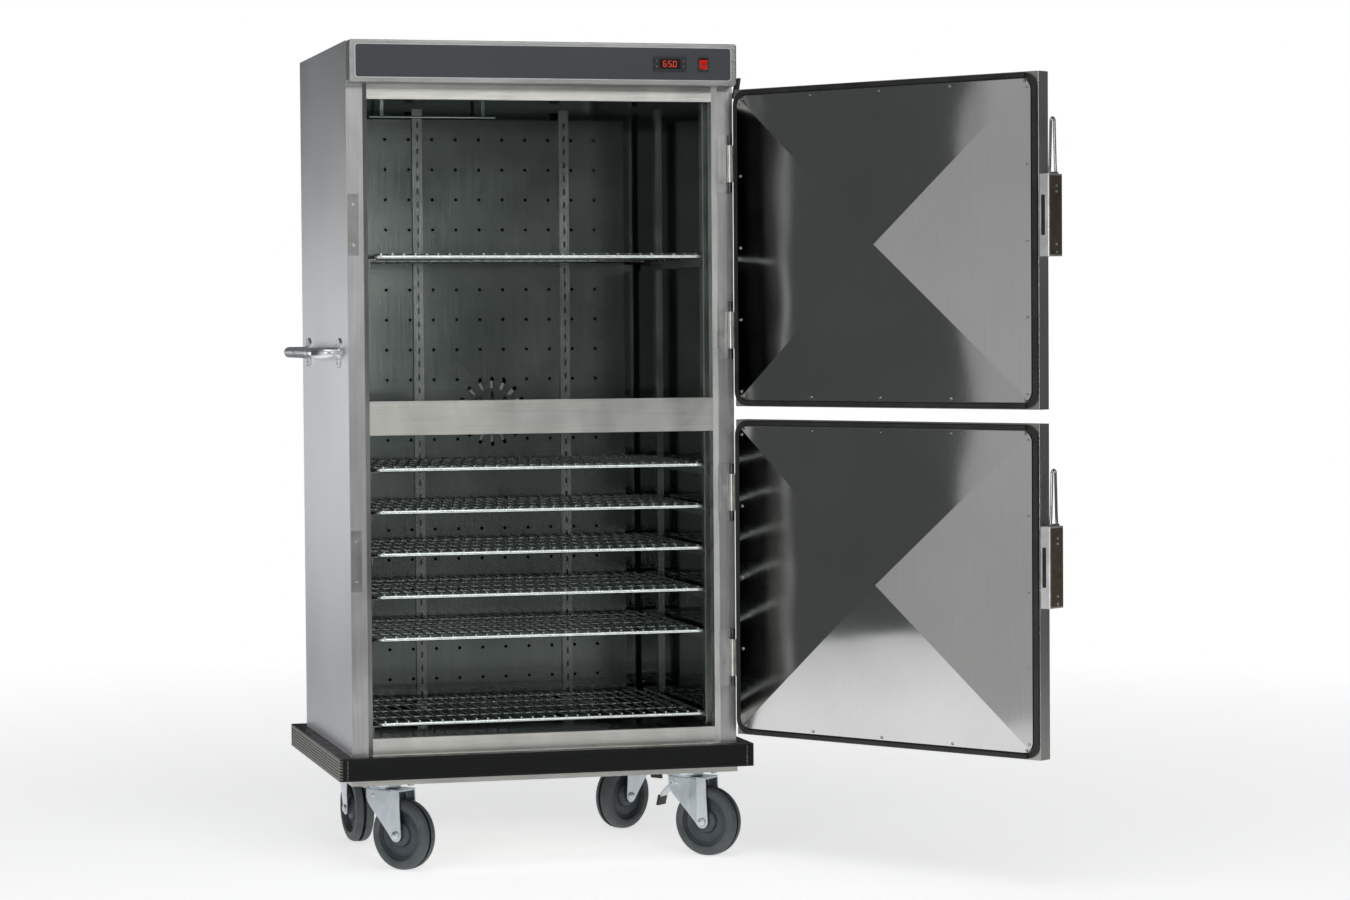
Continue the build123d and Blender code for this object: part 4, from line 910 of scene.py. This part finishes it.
def reflector_card(name, start, end, height, colour, strength):
    """An upright studio card between two floor points, which only reflections see."""
    corners = [(*start, 0.0), (*end, 0.0), (*end, height), (*start, height)]
    mesh = mesh_of(name, lambda work: work.faces.new([work.verts.new(corner) for corner in corners]))
    made = bpy.data.objects.new(name, mesh)
    bpy.context.scene.collection.objects.link(made)
    material, tree, shader = blank(f"{name}_board", Roughness=0.9, Emission_Strength=strength)
    mottle = noise(tree, (1.5, 1.5, 1.5), 3.0)
    dim = tuple(0.85 * channel for channel in colour)
    tree.links.new(tint(tree, mottle, dim, colour), shader.inputs["Emission Color"])
    shader.inputs["Base Color"].default_value = (0.02, 0.02, 0.02, 1.0)
    mesh.materials.append(material)
    made.visible_camera = False
    made.visible_shadow = False


def surroundings():
    """Pale behind the object; dim to everything that mirrors it."""
    world = bpy.data.worlds.new("studio")
    bpy.context.scene.world = world
    world.use_nodes = True
    tree = world.node_tree
    dim = tree.nodes["Background"]
    dim.inputs["Color"].default_value = (0.80, 0.84, 0.86, 1.0)
    dim.inputs["Strength"].default_value = 0.16
    pale = tree.nodes.new("ShaderNodeBackground")
    pale.inputs["Color"].default_value = (1.0, 1.0, 1.0, 1.0)
    pale.inputs["Strength"].default_value = 1.0
    path = tree.nodes.new("ShaderNodeLightPath")
    mixer = tree.nodes.new("ShaderNodeMixShader")
    tree.links.new(path.outputs["Is Camera Ray"], mixer.inputs["Fac"])
    tree.links.new(dim.outputs["Background"], mixer.inputs[1])
    tree.links.new(pale.outputs["Background"], mixer.inputs[2])
    tree.links.new(mixer.outputs["Shader"], tree.nodes["World Output"].inputs["Surface"])


def camera():
    """Long lens, a little left of the cabinet's front, at chest height and tipped slightly down."""
    yaw, pitch, roll = 0.2562, 0.0351, 0.0071
    data = bpy.data.cameras.new("camera")
    data.sensor_width = 36.0
    data.lens = 93.29
    data.clip_end = 200.0
    made = bpy.data.objects.new("camera", data)
    bpy.context.scene.collection.objects.link(made)
    level_right = Vector((math.cos(yaw), -math.sin(yaw), 0.0))
    level_ahead = Vector((math.sin(yaw), math.cos(yaw), 0.0))
    ahead = math.cos(pitch) * level_ahead - math.sin(pitch) * Vector((0, 0, 1))
    up = math.sin(pitch) * level_ahead + math.cos(pitch) * Vector((0, 0, 1))
    right = math.cos(roll) * level_right - math.sin(roll) * up
    top = math.sin(roll) * level_right + math.cos(roll) * up
    turn = Matrix((right, top, -ahead)).transposed().to_4x4()
    made.matrix_world = Matrix.Translation((-1.7157, -8.0470, 1.2204)) @ turn
    bpy.context.scene.camera = made


studio_floor()
surroundings()
camera()
reflector_card("white_card", (-2.2, -3.4), (-2.2, -0.88), 2.7, (0.44, 0.44, 0.44), 1.0)
reflector_card("black_flag", (-2.2, -0.88), (-2.2, 1.6), 2.7, (0.060, 0.066, 0.066), 1.0)
area_light("front_high_softbox", (1.5, -6.2, 3.6), (0.0, 0.0, 1.1), (3.0, 1.4), 52.0)
area_light("front_low_softbox", (0.15, -6.2, 1.35), (-0.4, -0.3, 1.15), (0.9, 1.0), 7.0)
area_light("left_rear_softbox", (-3.2, 4.6, 0.9), (-0.4, 0.0, 0.9), (2.6, 1.5), 26.0, (0.97, 0.98, 1.0))
area_light("left_front_softbox", (-3.6, -5.4, 1.4), (0.0, -0.4, 0.9), (1.6, 2.2), 60.0)
area_light("top_softbox", (-0.6, -2.2, 4.2), (0.0, -0.3, 0.6), (3.2, 2.4), 30.0)
bpy.context.scene.view_settings.view_transform = "Standard"
